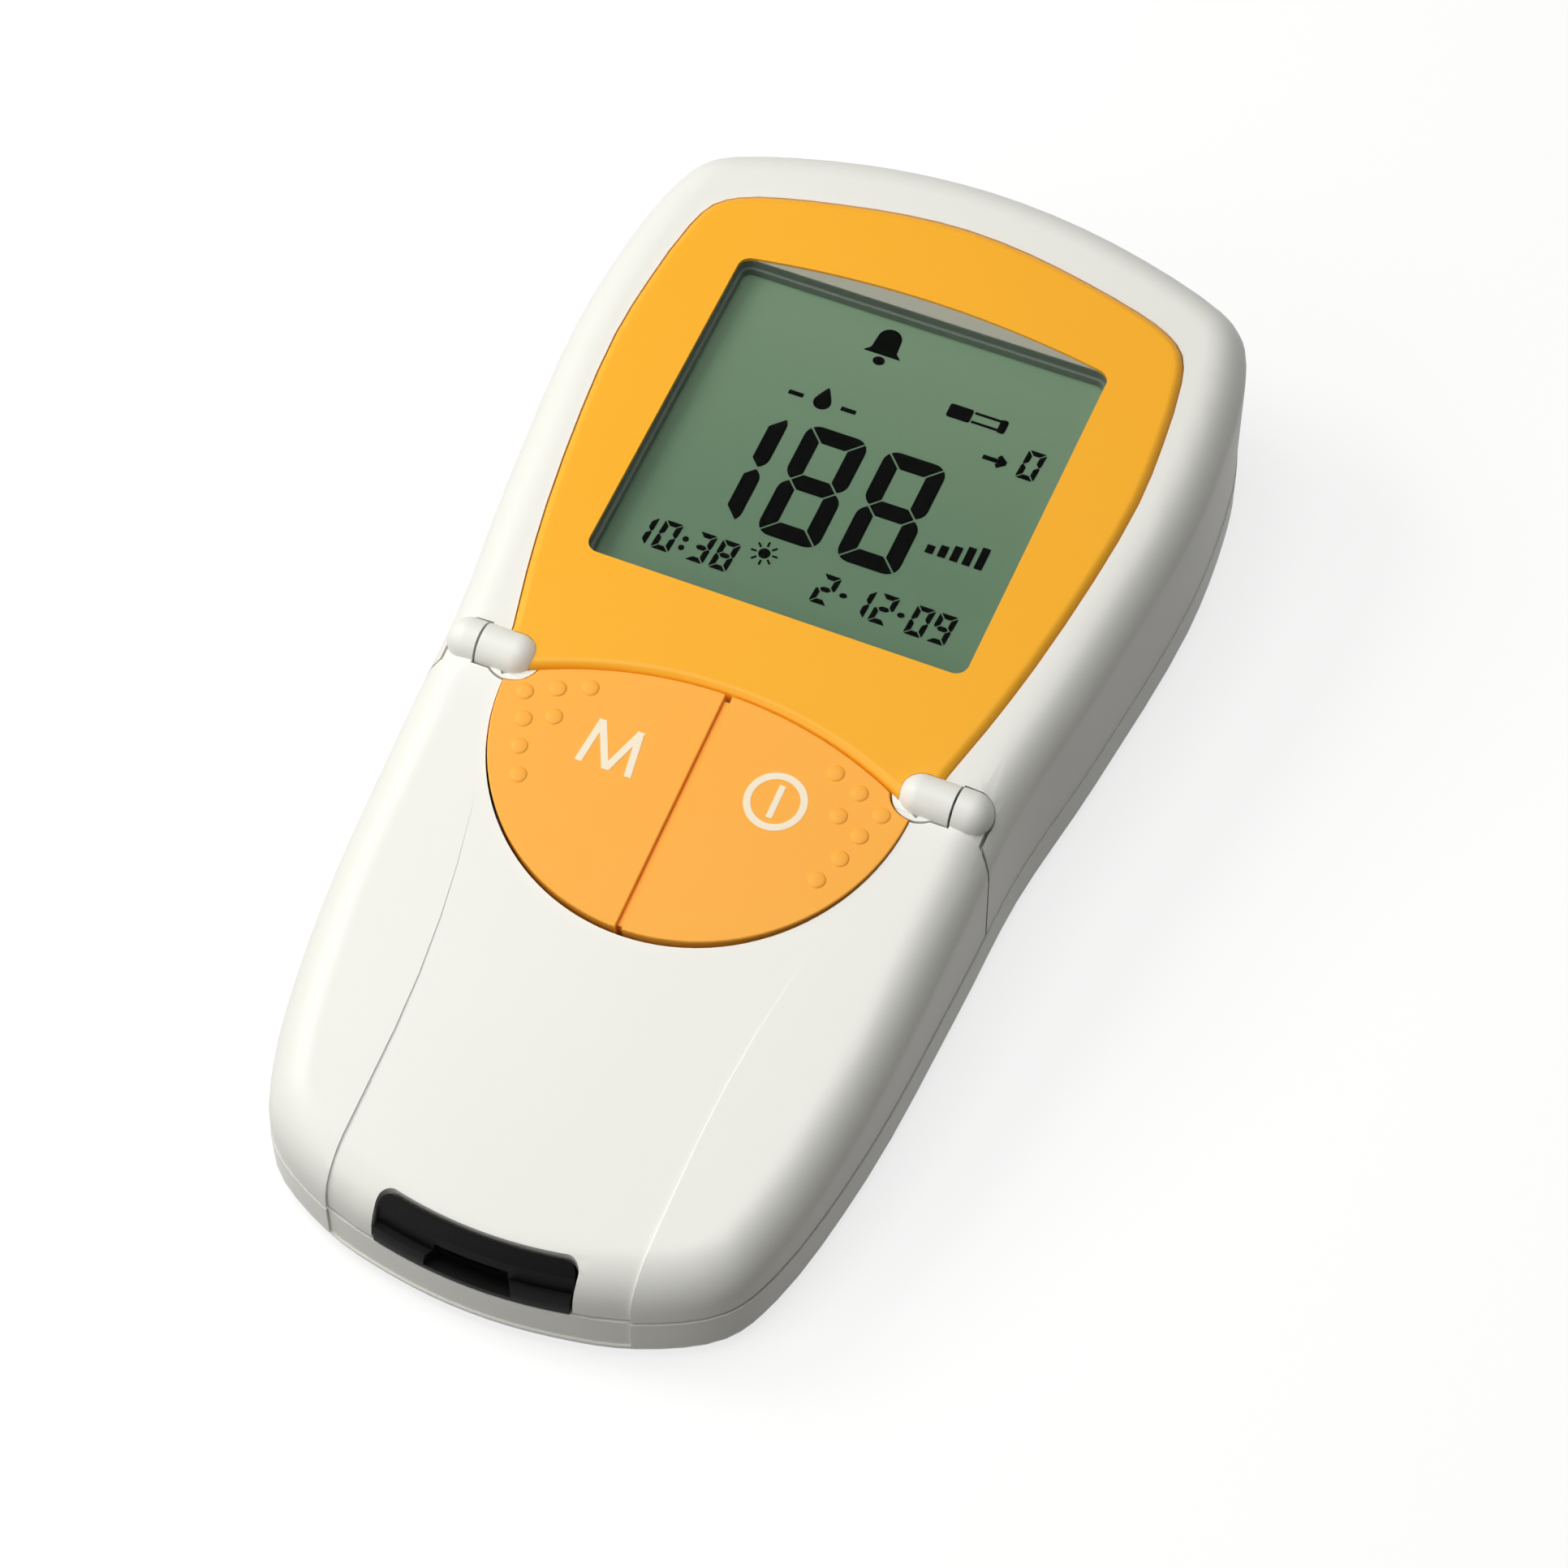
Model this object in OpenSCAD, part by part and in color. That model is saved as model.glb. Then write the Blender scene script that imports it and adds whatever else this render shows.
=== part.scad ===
// Hand-held blood-fat meter: wedge-shaped housing, display under a coloured face plate,
// two push buttons and a hinged measuring flap over the strip guide.
// +Z is up, +Y points from the strip end to the display end, the origin is the middle of the footprint.

/* [Body] */
// Length from the strip end to the display end
body_length = 156; // [152:0.5:160]
// Width across the hips, beside the display
hip_width = 81; // [80:0.5:85]
// Width of the waist, in front of the hinge
waist_width = 70.8; // [70.2:0.2:73]
// Width just behind the corners of the strip end
tip_width = 62; // [61:0.2:65]
// Height of the display plane above the table, over the hinge
hinge_height = 24.87; // [24.6:0.1:27]
// Height of the display plane at the display end
rear_height = 29.6; // [29.4:0.05:30.2]
// Height of the measuring flap's plane at the strip end
front_height = 13.45; // [13.3:0.05:13.8]
// Radius of the soft edge round the top
top_radius = 5.6; // [4.8:0.1:6]
// Radius of the edge round the underside
base_radius = 1.6; // [1:0.1:2]
// Height of the parting line between the two shells
parting_height = 7.2; // [6.9:0.1:7.4]
// How far the lower shell stands out past the upper one
shell_step = 0.15; // [0.1:0.05:0.25]
// Thickness of the shells
wall = 2; // [1.8:0.1:2.2]
// Thickness of the underside
floor_t = 1.6; // [1.4:0.1:1.8]

/* [Outline] */
// Distance of the widest place from the display end
hip_from_rear = 37; // [34:1:39]
// Where the waist is
waist_y = -21; // [-25:1:-18]
// Distance of the corners of the strip end from its middle
tip_from_front = 15; // [14:0.5:17]
// How far the display end bows out
rear_bow = 6.8; // [6.2:0.1:7.2]
// Size of the corners of the display end
rear_corner = 8; // [7.4:0.1:8.8]
// How far the strip end bows out
front_bow = 3.2; // [3:0.1:4]
// Size of the corners of the strip end
front_corner = 11.8; // [10:0.2:12]

/* [Face plate and display] */
// Width of the display window
window_w = 47.9; // [46:0.1:48.4]
// Length of the display window
window_l = 46.8; // [45:0.1:47.4]
// Distance of the display window from the display end
window_rear_rim = 23.7; // [23.2:0.1:24.2]
// Rim of the housing left beside the face plate at the hips
plate_side_rim = 6.8; // [6.4:0.1:7.4]
// Rim of the housing left behind the face plate
plate_rear_rim = 9.4; // [9:0.1:10.4]
// Half width of the face plate at its lower corners
plate_low_x = 27.2; // [26.8:0.1:27.6]
// Thickness of the face plate
plate_t = 2; // [1.8:0.1:2.2]
// How far the face plate stands proud of the housing
plate_proud = 0.6; // [0.4:0.1:0.8]
// Radius of the rounded lower edge of the face plate, seen from above
plate_arc_r = 52; // [48:1:60]
// Thickness of the clear display lens
lens_t = 1.6; // [1.4:0.1:1.8]
// Thickness of the display panel
lcd_t = 2.2; // [1.8:0.1:2.4]
// Depth of the circuit board below the display plane
board_depth = 9.4; // [9.2:0.1:9.6]
// Thickness of the circuit board
board_t = 1.6; // [1.2:0.1:1.6]

/* [Buttons] */
// Radius of the round front of the button pair
button_r = 25; // [24.4:0.1:25.2]
// Centre of that round front
button_y = -11.3; // [-11.6:0.1:-11]
// Gap between the two buttons
button_split = 0.9; // [0.7:0.1:1.2]
// Gap between the buttons and what is round them
button_gap = 0.4; // [0.3:0.05:0.5]
// Travel of a button
button_travel = 0.8; // [0.6:0.1:1]
// Thickness of a button's top
button_skin = 1.8; // [1.6:0.1:2]
// Depth of a button's skirt
skirt_depth = 4; // [3.6:0.1:4.2]
// Diameter of the raised dots
dot_d = 2.1; // [1.8:0.1:2.4]

/* [Hinge] */
// Distance of the hinge axis from the middle of the body
hinge_y = -8.5; // [-8.7:0.1:-8.3]
// Radius of the hinge knuckles
knuckle_r = 2.7; // [2.6:0.05:2.8]
// Depth of the hinge axis below the top of the housing
hinge_depth = 0.85; // [0.7:0.05:1]
// Diameter of the hinge pins
pin_d = 2; // [1.8:0.1:2.2]
// Length of a hinge pin
pin_l = 7.4; // [7:0.1:7.6]
// Where the fixed and the moving knuckle meet
knuckle_split_x = 29.6; // [29.4:0.1:29.8]
// Inner end of the fixed knuckle
knuckle_in_x = 22.6; // [22.4:0.1:23]
// Outer end of the moving knuckle
knuckle_out_x = 34; // [33.8:0.1:34.1]
// Where the flap's side walls meet the housing
seam_y = -13.2; // [-13.6:0.1:-13]
// Running gap between the flap and the housing
flap_gap = 0.3; // [0.25:0.05:0.35]
// Radial clearance of a pin in its moving knuckle
pin_play = 0.05; // [0.03:0.01:0.08]

/* [Strip guide and measuring chamber] */
// Width of the black strip guide
guide_w = 24.2; // [23.6:0.2:25]
// Length of the strip guide under the flap
guide_l = 38; // [36:0.5:40]
// Width of a test strip
strip_w = 6; // [5.8:0.1:6.4]
// Height of the slot for the strip
strip_slot_h = 1.1; // [1:0.1:1.3]
// Height of the deck under the flap
deck_height = 8; // [7.9:0.05:8.2]
// Thickness of the deck
deck_t = 1.6; // [1.4:0.1:1.8]
// Depth of the soft step in the middle of the flap
crease_depth = 0.3; // [0.2:0.05:0.4]
// Half width of the flap's middle panel at the strip end
crease_x = 18.5; // [18.2:0.1:19]

/* [Batteries] */
// Diameter of a battery
cell_d = 10.4; // [10.2:0.1:10.5]
// Length of a battery without its pip
cell_l = 43.6; // [43.2:0.1:44]
// Distance between the batteries
cell_pitch = 10.9; // [10.7:0.05:11]
// Number of batteries
cell_count = 4; // [2:1:4]
// Width of the battery cover
cover_w = 50; // [49.4:0.2:51]
// Thickness of the battery cover
cover_t = 1.6; // [1.4:0.1:1.6]
// How far the battery cover reaches past the cells' bay
cover_reach = 5.5; // [5:0.1:6]
// Height of the cover's lip on the rear wall
cover_lip_h = 5; // [4.6:0.1:5.2]

/* [Feet and screws] */
// Diameter of a rubber foot
foot_d = 8; // [7:0.5:9]
// Height of a rubber foot below the underside
foot_h = 0.6; // [0.4:0.1:0.8]
// Diameter of a case screw's thread
screw_d = 2.5; // [2.2:0.1:2.8]
// Diameter of a case screw's head
screw_head_d = 4.6; // [4.4:0.1:5]
// Length of a case screw
screw_l = 8; // [7:0.5:9]

/* [Hidden] */

white = "#F2F1EA";
orange = "#FBB236";
button_orange = "#FBB652";
big = 200;
tiny = 0.02;
fine_steps = 4;
coarse_steps = 2;
round_steps = 6;
inner_round_steps = 3;

rear_y = body_length / 2;
front_y = -body_length / 2;
hip_x = hip_width / 2;
waist_x = waist_width / 2;
tip_x = tip_width / 2;
base_z = foot_h;
hip_y = rear_y - hip_from_rear;
tip_y = front_y + tip_from_front;
window_y = rear_y - window_rear_rim - window_l / 2;
// The two planes of the top meet over the waist, with a soft bend
bend_y = -8;
bend_soft = 2;
rear_slope = (rear_height - hinge_height) / (rear_y - bend_y);
flap_slope = (hinge_height - front_height) / (bend_y - front_y);
display_tilt = atan(rear_slope);
flap_tilt = atan(flap_slope);
hinge_z = hinge_height - hinge_depth;

// Smooth curves

function mirrored(p) = [-p.x, p.y];

function curve_piece(p0, p1, p2, p3, n) =
    let (
        d1 = sqrt(norm(p1 - p0)),
        d2 = sqrt(norm(p2 - p1)),
        d3 = sqrt(norm(p3 - p2)),
        m1 = (p2 - p1) + d2 * ((p1 - p0) / d1 - (p2 - p0) / (d1 + d2)),
        m2 = (p2 - p1) + d2 * ((p3 - p2) / d3 - (p3 - p1) / (d2 + d3))
    )
    [for (k = [0:n - 1]) let (t = k / n)
        (2 * t ^ 3 - 3 * t ^ 2 + 1) * p1 + (t ^ 3 - 2 * t ^ 2 + t) * m1
        + (3 * t ^ 2 - 2 * t ^ 3) * p2 + (t ^ 3 - t ^ 2) * m2];

// A smooth curve through stations that start and end on the middle line
function curve(stations, n) =
    let (last = len(stations) - 1)
    [for (i = [0:last - 1])
        let (
            before = i == 0 ? mirrored(stations[1]) : stations[i - 1],
            after = i == last - 1 ? mirrored(stations[last - 1]) : stations[i + 2]
        )
        each curve_piece(before, stations[i], stations[i + 1], after, n),
    stations[last]];

// A whole loop, anticlockwise from above, from its right half
function whole_loop(half) = concat(
    [for (p = half) mirrored(p)],
    [for (i = [len(half) - 2:-1:1]) half[i]]);

// Stations moved inwards, square to the curve, so that a drawn-in outline stays smooth at tight corners
function inset_stations(stations, d) =
    let (n = 8, half = curve(stations, n), last = len(stations) - 1)
    [for (i = [0:last])
        let (
            a = i == 0 ? mirrored(half[1]) : half[i * n - 1],
            b = i == last ? mirrored(half[last * n - 1]) : half[i * n + 1],
            u = (b - a) / norm(b - a)
        )
        stations[i] + d * [u.y, -u.x]];

// Keeps a half outline falling from station to station, as the strips of a lofted top need
function falling(half) = [for (i = [0:len(half) - 1])
    [half[i].x, min([for (j = [0:i]) half[j].y - 0.002 * (i - j)])]];

function outline(stations, d, n) =
    whole_loop(falling(curve(d == 0 ? stations : inset_stations(stations, d), n)));

// Body outline

function rear_edge(x) = rear_y - rear_bow * (x / (hip_x - rear_corner)) ^ 2;
function front_edge(x) = front_y + front_bow * (x / (tip_x - front_corner)) ^ 2;

shoulder_y = (hip_y + rear_edge(hip_x - rear_corner)) / 2;

body_stations = [
    [0, rear_y],
    [(hip_x - rear_corner) / 2, rear_edge((hip_x - rear_corner) / 2)],
    [hip_x - rear_corner, rear_edge(hip_x - rear_corner)],
    [hip_x - 0.54 * rear_corner, rear_y - rear_bow - 0.36 * rear_corner],
    [hip_x - 0.29 * rear_corner, rear_y - rear_bow - 0.95 * rear_corner],
    [hip_x - 0.11 * rear_corner, shoulder_y],
    [hip_x, hip_y],
    [waist_x + 0.57 * (hip_x - waist_x), hip_y + 0.41 * (waist_y - hip_y)],
    [waist_x + 0.09 * (hip_x - waist_x), hip_y + 0.72 * (waist_y - hip_y)],
    [waist_x - 0.05, waist_y],
    [tip_x + 0.72 * (waist_x - tip_x), waist_y + 0.57 * (tip_y - waist_y)],
    [tip_x, tip_y],
    [tip_x - 0.28 * front_corner, front_y + front_bow + 0.43 * front_corner],
    [tip_x - front_corner, front_edge(tip_x - front_corner)],
    [(tip_x - front_corner) / 2, front_edge((tip_x - front_corner) / 2)],
    [0, front_y]];

// Height of the top over the table: two planes with a soft bend between them
function top_z(y) =
    let (
        t = y - bend_y,
        mean = (flap_slope + rear_slope) / 2,
        half = (flap_slope - rear_slope) / 2
    )
    hinge_height - half * bend_soft + mean * t - half * (sqrt(t * t + bend_soft * bend_soft) - bend_soft);

function flat_ring(stations, n, d, z) = [for (p = outline(stations, d, n)) [p.x, p.y, z]];
function top_ring(stations, n, d, drop) = [for (p = outline(stations, d, n)) [p.x, p.y, top_z(p.y) - drop]];

// Joins rings, listed from the bottom up, into one closed solid. Its ends are strips across the middle line.
module loft(rings) {
    n = len(rings[0]);
    m = n / 2;
    last = (len(rings) - 1) * n;
    sides = [for (r = [0:len(rings) - 2]) for (j = [0:n - 1])
        let (a = r * n + j, b = r * n + (j + 1) % n)
        [a, a + n, b + n, b]];
    bottom = concat(
        [[0, 1, n - 1]],
        [for (j = [1:m - 2]) [j, j + 1, n - j - 1, n - j]],
        [[m - 1, m, m + 1]]);
    top = concat(
        [[last, last + n - 1, last + 1]],
        [for (j = [1:m - 2]) [last + j, last + n - j, last + n - j - 1, last + j + 1]],
        [[last + m - 1, last + m + 1, last + m]]);
    polyhedron(points = [for (r = rings) each r], faces = concat(sides, bottom, top), convexity = 8);
}

// The upper part of the body as one closed form with a round edge, drawn in by a margin
module upper_form(n, margin, steps) {
    r = top_radius - margin;
    loft(concat(
        [flat_ring(body_stations, n, margin, base_z)],
        [for (k = [0:steps]) let (a = k * 90 / steps)
            top_ring(body_stations, n, margin + r * (1 - cos(a)), margin - shell_step + r * (1 - sin(a)))]));
}

module body_form() {
    upper_form(fine_steps, shell_step, round_steps);
}

module inner_form(margin = wall) {
    upper_form(coarse_steps, margin, inner_round_steps);
}

// The lower part of the body, with a round edge below and upright sides
module lower_form() {
    loft(concat(
        [for (k = [0:3]) let (a = k * 30, r = base_radius)
            flat_ring(body_stations, fine_steps, r * (1 - sin(a)), base_z + r * (1 - cos(a)))],
        [flat_ring(body_stations, fine_steps, 0, parting_height - seat_gap)]));
}

// An upright block with the body's outline drawn in by a margin
module body_block(margin, low_z, high_z) {
    translate([0, 0, low_z]) linear_extrude(high_z - low_z)
        polygon(outline(body_stations, margin, coarse_steps));
}

// Places children on the display plane, with y kept as the distance from the middle of the body
module on_display_plane() {
    translate([0, bend_y, hinge_height])
        rotate([display_tilt, 0, 0])
            translate([0, -bend_y, 0])
                children();
}

// The same for the plane of the flap
module on_flap_plane() {
    translate([0, bend_y, hinge_height])
        rotate([flap_tilt, 0, 0])
            translate([0, -bend_y, 0])
                children();
}

module both_sides() {
    children();
    mirror([1, 0, 0]) children();
}

module box(x0, x1, y0, y1, z0, z1) {
    translate([x0, y0, z0]) cube([x1 - x0, y1 - y0, z1 - z0]);
}

module rounded_rect(w, l, r) {
    square([w - 2 * r, l], center = true);
    square([w, l - 2 * r], center = true);
    for (sx = [-1, 1], sy = [-1, 1])
        translate([sx * (w / 2 - r), sy * (l / 2 - r)]) circle(r = r, $fn = 32);
}

module rounded_slab(w, l, r, z0, z1) {
    translate([0, 0, z0]) linear_extrude(z1 - z0) rounded_rect(w, l, r);
}

module x_cylinder(x0, x1, r, play = 0) {
    translate([x0, hinge_y, hinge_z]) rotate([0, 90, 0]) cylinder(r = r + play, h = x1 - x0, $fn = 48);
}

// Face plate outline

plate_hip_x = hip_x - plate_side_rim;
plate_rear_y = rear_y - plate_rear_rim;
plate_low_y = hinge_y + 3.8;

plate_stations = [
    [0, plate_rear_y],
    [8, plate_rear_y - 0.6],
    [16, plate_rear_y - 2.1],
    [23.5, plate_rear_y - 4],
    [plate_hip_x - 5.6, plate_rear_y - 5.8],
    [plate_hip_x - 3, plate_rear_y - 8],
    [plate_hip_x - 1.6, plate_rear_y - 12],
    [plate_hip_x - 0.4, plate_rear_y - 21.6],
    [plate_hip_x, hip_y - 3],
    [plate_hip_x - 0.9, hip_y - 15],
    [plate_hip_x - 2.8, hip_y - 29],
    [plate_low_x + 1.8, hinge_y + 10.7],
    [plate_low_x, hinge_y + 3.1],
    [plate_low_x - 1, hinge_y - 2.5],
    [plate_low_x - 5, hinge_y - 6.5],
    [12, hinge_y - 7.1],
    [0, hinge_y - 7.3]];

plate_bottom = plate_proud - plate_t;
// Gap between the edge of the face plate and its pocket
plate_fit = 0.04;

// The face plate's block with a rounded upper edge. A turned form cuts its lower edge to the same round.
module plate_form(margin, low_z, high_z, edge_r) {
    low_arc = [for (k = [0:4]) let (a = k * 22.5)
        [plate_arc_r + margin + edge_r * (1 - cos(a)), high_z - edge_r * (1 - sin(a))]];
    difference() {
        loft([
            flat_ring(plate_stations, 2, margin, low_z),
            flat_ring(plate_stations, 2, margin, high_z - edge_r),
            flat_ring(plate_stations, 2, margin + 0.13 * edge_r, high_z - 0.5 * edge_r),
            flat_ring(plate_stations, 2, margin + 0.5 * edge_r, high_z - 0.13 * edge_r),
            flat_ring(plate_stations, 2, margin + edge_r, high_z)]);
        translate([0, plate_low_y - plate_arc_r, 0]) rotate_extrude($fn = 180)
            polygon(concat([[0, low_z - 1], [plate_arc_r + margin, low_z - 1]], low_arc,
                [[plate_arc_r + margin + edge_r, high_z + 1], [0, high_z + 1]]));
    }
}

// Display stack, measured down from the display plane

seat_gap = 0.1;
lens_bottom = plate_proud - lens_t;
seat_t = 1.6;
seat_bottom = plate_bottom - seat_t;
frame_rim = 1.2;
ledge_t = 0.65;
lcd_top = plate_bottom - ledge_t - seat_gap;
lcd_bottom = lcd_top - lcd_t;
lcd_margin = 1.6;
frame_margin = 3.1;
board_top = -board_depth;
board_bottom = -board_depth - board_t;
window_r = 1.6;

// Buttons

button_plane_tilt = flap_tilt - 0.74;
button_plane_z = hinge_height + 0.08;
function button_z(y) = button_plane_z + tan(button_plane_tilt) * (y - bend_y);

web_r = 3.3;
web_x = knuckle_in_x + knuckle_r;
web_y = hinge_y - 0.2;

// Round front, arched back, and the corners that give way to the webs of the hinge
module button_outline(r) {
    fit = button_r + button_gap - r;
    difference() {
        intersection() {
            translate([0, button_y]) {
                circle(r = r, $fn = 96);
                translate([-r, 0]) square([2 * r, 20]);
            }
            translate([0, plate_low_y - plate_arc_r]) circle(r = plate_arc_r - fit, $fn = 180);
        }
        for (s = [-1, 1])
            translate([s * web_x, web_y]) circle(r = web_r + fit - tiny, $fn = 48);
    }
}

module below_button_plane(depth) {
    translate([0, bend_y, button_plane_z - depth])
        rotate([button_plane_tilt, 0, 0])
            translate([-big / 2, -big / 2, -big])
                cube(big);
}

// Dots beside each legend, as distances from the middle line and from the centre of the round front
dots = [[22.2, -1.6], [18.8, 0.1], [15.3, 1.5], [20.9, -4.9], [17.7, -3.4], [19.9, -8.3], [18.5, -11.7]];

module right_button() {
    skirt_r = button_r - 0.2;
    difference() {
        union() {
            intersection() {
                linear_extrude(big) button_outline(button_r);
                below_button_plane(0);
                below_front(skirt_depth);
            }
            for (d = dots)
                translate([d.x, button_y + d.y, button_z(button_y + d.y) - 0.5])
                    cylinder(d1 = dot_d, d2 = dot_d * 0.6, h = 0.85, $fn = 24);
        }
        // Hollow under the top, round the plunger that reaches down to the switch
        difference() {
            intersection() {
                linear_extrude(big) button_outline(skirt_r - 1.6);
                below_button_plane(button_skin);
                box(button_split / 2 + 1.4, big, -big, big, -big, big);
            }
            translate([switch_x, switch_y, switch_top_z + button_rest_gap])
                cylinder(d = 4, h = big, $fn = 32);
        }
        box(-big, button_split / 2, -big, big, -big, big);
    }
}

// Keeps what lies above a plane parallel to the button plane
module below_front(depth) {
    difference() {
        translate([-big / 2, -big / 2, 0]) cube(big);
        below_button_plane(depth);
    }
}

// Switches on the board, one under the middle of each button
switch_x = 11;
switch_y = -20;
switch_size = 6;
button_rest_gap = button_travel + 0.1;

function display_z(y) = hinge_height + rear_slope * (y - bend_y);
board_top_at_switch = display_z(switch_y) + board_top / cos(display_tilt);
switch_top_z = button_z(switch_y) - button_skin - 1.6;

module memory_button() {
    color(button_orange) mirror([1, 0, 0]) right_button();
}

module power_button() {
    color(button_orange) right_button();
}

// Shells

module plan_of_flap(gap) {
    corner_x = knuckle_out_x - 0.2;
    polygon([
        [-big, -big], [big, -big], [big, seam_y - gap], [waist_x + 0.8, seam_y - gap],
        [corner_x - gap, hinge_y - knuckle_r - gap], [-corner_x + gap, hinge_y - knuckle_r - gap],
        [-waist_x - 0.8, seam_y - gap], [-big, seam_y - gap]]);
}

module flap_region(gap) {
    translate([0, 0, -1]) linear_extrude(big) plan_of_flap(gap);
}

// Knuckle with a flat face and a round end, pointing inwards or outwards
module knuckle(x_flat, x_end, play = 0) {
    s = sign(x_end - x_flat);
    x_ball = x_end - s * knuckle_r;
    x_cylinder(min(x_flat, x_ball), max(x_flat, x_ball), knuckle_r, play);
    translate([x_ball, hinge_y, hinge_z]) rotate([0, 90, 0]) sphere(r = knuckle_r + play, $fn = 48);
}

// Web at the foot of the fixed knuckle
module hinge_web(gap) {
    translate([web_x, web_y, hinge_z - knuckle_r])
        cylinder(r = web_r + gap, h = knuckle_r + 0.2 + gap, $fn = 48);
}

rear_boss = [hip_x - 7.5, rear_y - 23];
front_boss = [tip_x - 8, front_y + 19];
board_post = [24, 1];
board_post_rear_y = rear_y - 14.5;
bulkhead_y = -5.2;
bulkhead_t = 1.8;
bracket_in_x = button_r + button_gap;
infrared_w = 16;
infrared_h = 7;
infrared_z = 15;

fixed_face_x = knuckle_split_x - flap_gap / 2;
moving_face_x = knuckle_split_x + flap_gap / 2;
bracket_low_z = 14;

// Shell with its bulkhead behind the measuring chamber
module upper_shell() {
    difference() {
        translate([-big / 2, -big / 2, 0]) cube(big);
        intersection() {
            inner_form();
            box(-big, big, bulkhead_y + bulkhead_t, big, -1, big);
        }
        box(-waist_x + wall, waist_x - wall, -big, bulkhead_y, -1, hinge_z - knuckle_r);
        flap_region(0);
    }
}

// What stands inside the shell: seat of the face plate, bosses and board posts
module shell_fittings() {
    difference() {
        on_display_plane() translate([0, 0, seat_bottom])
            linear_extrude(seat_t) polygon(outline(plate_stations, -2, 2));
        flap_region(-tiny);
    }
    both_sides() {
        translate([rear_boss.x, rear_boss.y, parting_height]) cylinder(r = 3, h = big, $fn = 32);
        for (y = [board_post.y, board_post_rear_y])
            on_display_plane() translate([board_post.x, y, board_top])
                cylinder(r = 2.2, h = seat_bottom - board_top + 0.5, $fn = 32);
        box(bracket_in_x, fixed_face_x, hinge_y - knuckle_r + 0.2, bulkhead_y + 0.5, bracket_low_z, hinge_z);
        hinge_web(0);
    }
}

module front_housing() {
    color(white)
    difference() {
        union() {
            difference() {
                intersection() {
                    body_form();
                    union() {
                        upper_shell();
                        shell_fittings();
                    }
                }
                translate([-big / 2, -big / 2, parting_height - big]) cube(big);
                // Pocket for the face plate
                on_display_plane() plate_form(-plate_fit, plate_bottom - seat_gap / 2, 10, 0);
                // Opening for the display frame
                on_display_plane() translate([0, window_y, 0])
                    frame_slab(frame_margin + seat_gap, 1, -20, 10);
                // Opening for the buttons
                translate([0, 0, bracket_low_z]) linear_extrude(big) button_outline(button_r + button_gap);
                // Slot in the bulkhead for the neck of the board
                neck_z = display_z(bulkhead_y);
                box(-board_neck_w / 2 - 0.5, board_neck_w / 2 + 0.5, bulkhead_y - 1,
                    bulkhead_y + bulkhead_t + 1, neck_z + board_bottom - 2.4, neck_z + board_top + 0.8);
            }
            both_sides() knuckle(fixed_face_x, knuckle_in_x);
        }
        both_sides() {
            // Pocket that the moving knuckle turns in
            knuckle(fixed_face_x, knuckle_out_x, flap_gap);
            box(fixed_face_x, knuckle_out_x - 0.1, -big, hinge_y, hinge_z - knuckle_r - flap_gap, big);
            x_cylinder(knuckle_split_x - pin_l / 2 - tiny, knuckle_split_x + 1, pin_d / 2, 0.02);
            translate([rear_boss.x, rear_boss.y, parting_height - 1])
                cylinder(d = screw_d - 0.4, h = screw_l - 1, $fn = 32);
            for (y = [board_post.y, board_post_rear_y])
                on_display_plane() translate([board_post.x, y, board_top - 1])
                    cylinder(d = board_screw_d, h = 5.5, $fn = 24);
        }
        // Window for the infrared port
        translate([0, rear_y, infrared_z])
            cube([infrared_w + 0.2, 4 * wall, infrared_h + 0.2], center = true);
    }
}

module face_plate() {
    color(orange)
    difference() {
        on_display_plane() difference() {
            plate_form(0, plate_bottom, plate_proud, 1.2);
            translate([0, window_y, 0]) {
                frame_slab(0, window_r, -10, 10);
                // Rebate under the window's edge, for the rim of the display frame
                frame_slab(frame_rim + seat_gap, window_r + frame_rim, -10, plate_proud - 0.5);
            }
        }
        // Room for the fixed knuckles
        both_sides() {
            knuckle(knuckle_out_x, knuckle_in_x, plate_fit);
            box(knuckle_in_x + 1, big, -big, hinge_y, 0, big);
        }
    }
}

// Slab as large as the display window with a margin round it
module frame_slab(margin, r, z0, z1) {
    rounded_slab(window_w + 2 * margin, window_l + 2 * margin, r, z0, z1);
}

module display_lens() {
    color([0.85, 0.92, 0.9, 0.35])
    on_display_plane() translate([0, window_y, 0])
        rounded_slab(window_w - 0.1, window_l - 0.1, window_r, lens_bottom, plate_proud);
}

module display_frame() {
    color("#8E9088")
    on_display_plane() translate([0, window_y, 0]) difference() {
        union() {
            frame_slab(frame_rim, window_r + frame_rim, plate_bottom - 0.5, plate_proud - 0.6);
            frame_slab(frame_margin, 1, board_top + seat_gap, plate_bottom - seat_gap);
        }
        // Seat of the lens, and the opening below it
        frame_slab(0, window_r, lens_bottom - 0.05, 10);
        frame_slab(-0.4, window_r - 0.4, -20, 10);
        // Seat of the panel, and the room for the contact strips
        translate([0, 0, lcd_top + 0.05 - 20]) linear_extrude(20)
            square([window_w + 2 * lcd_margin + 0.2, window_l + 2 * lcd_margin + 0.2], center = true);
    }
}

module lcd_panel() {
    w = window_w + 2 * lcd_margin;
    l = window_l + 2 * lcd_margin;
    color("#6C8A70")
    on_display_plane() translate([0, window_y, 0]) {
        translate([0, 0, lcd_top - lcd_t / 4]) cube([w, l, lcd_t / 2], center = true);
        translate([0, 0, lcd_top - lcd_t * 3 / 4]) cube([w - 1, l, lcd_t / 2 + tiny], center = true);
    }
}

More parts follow.
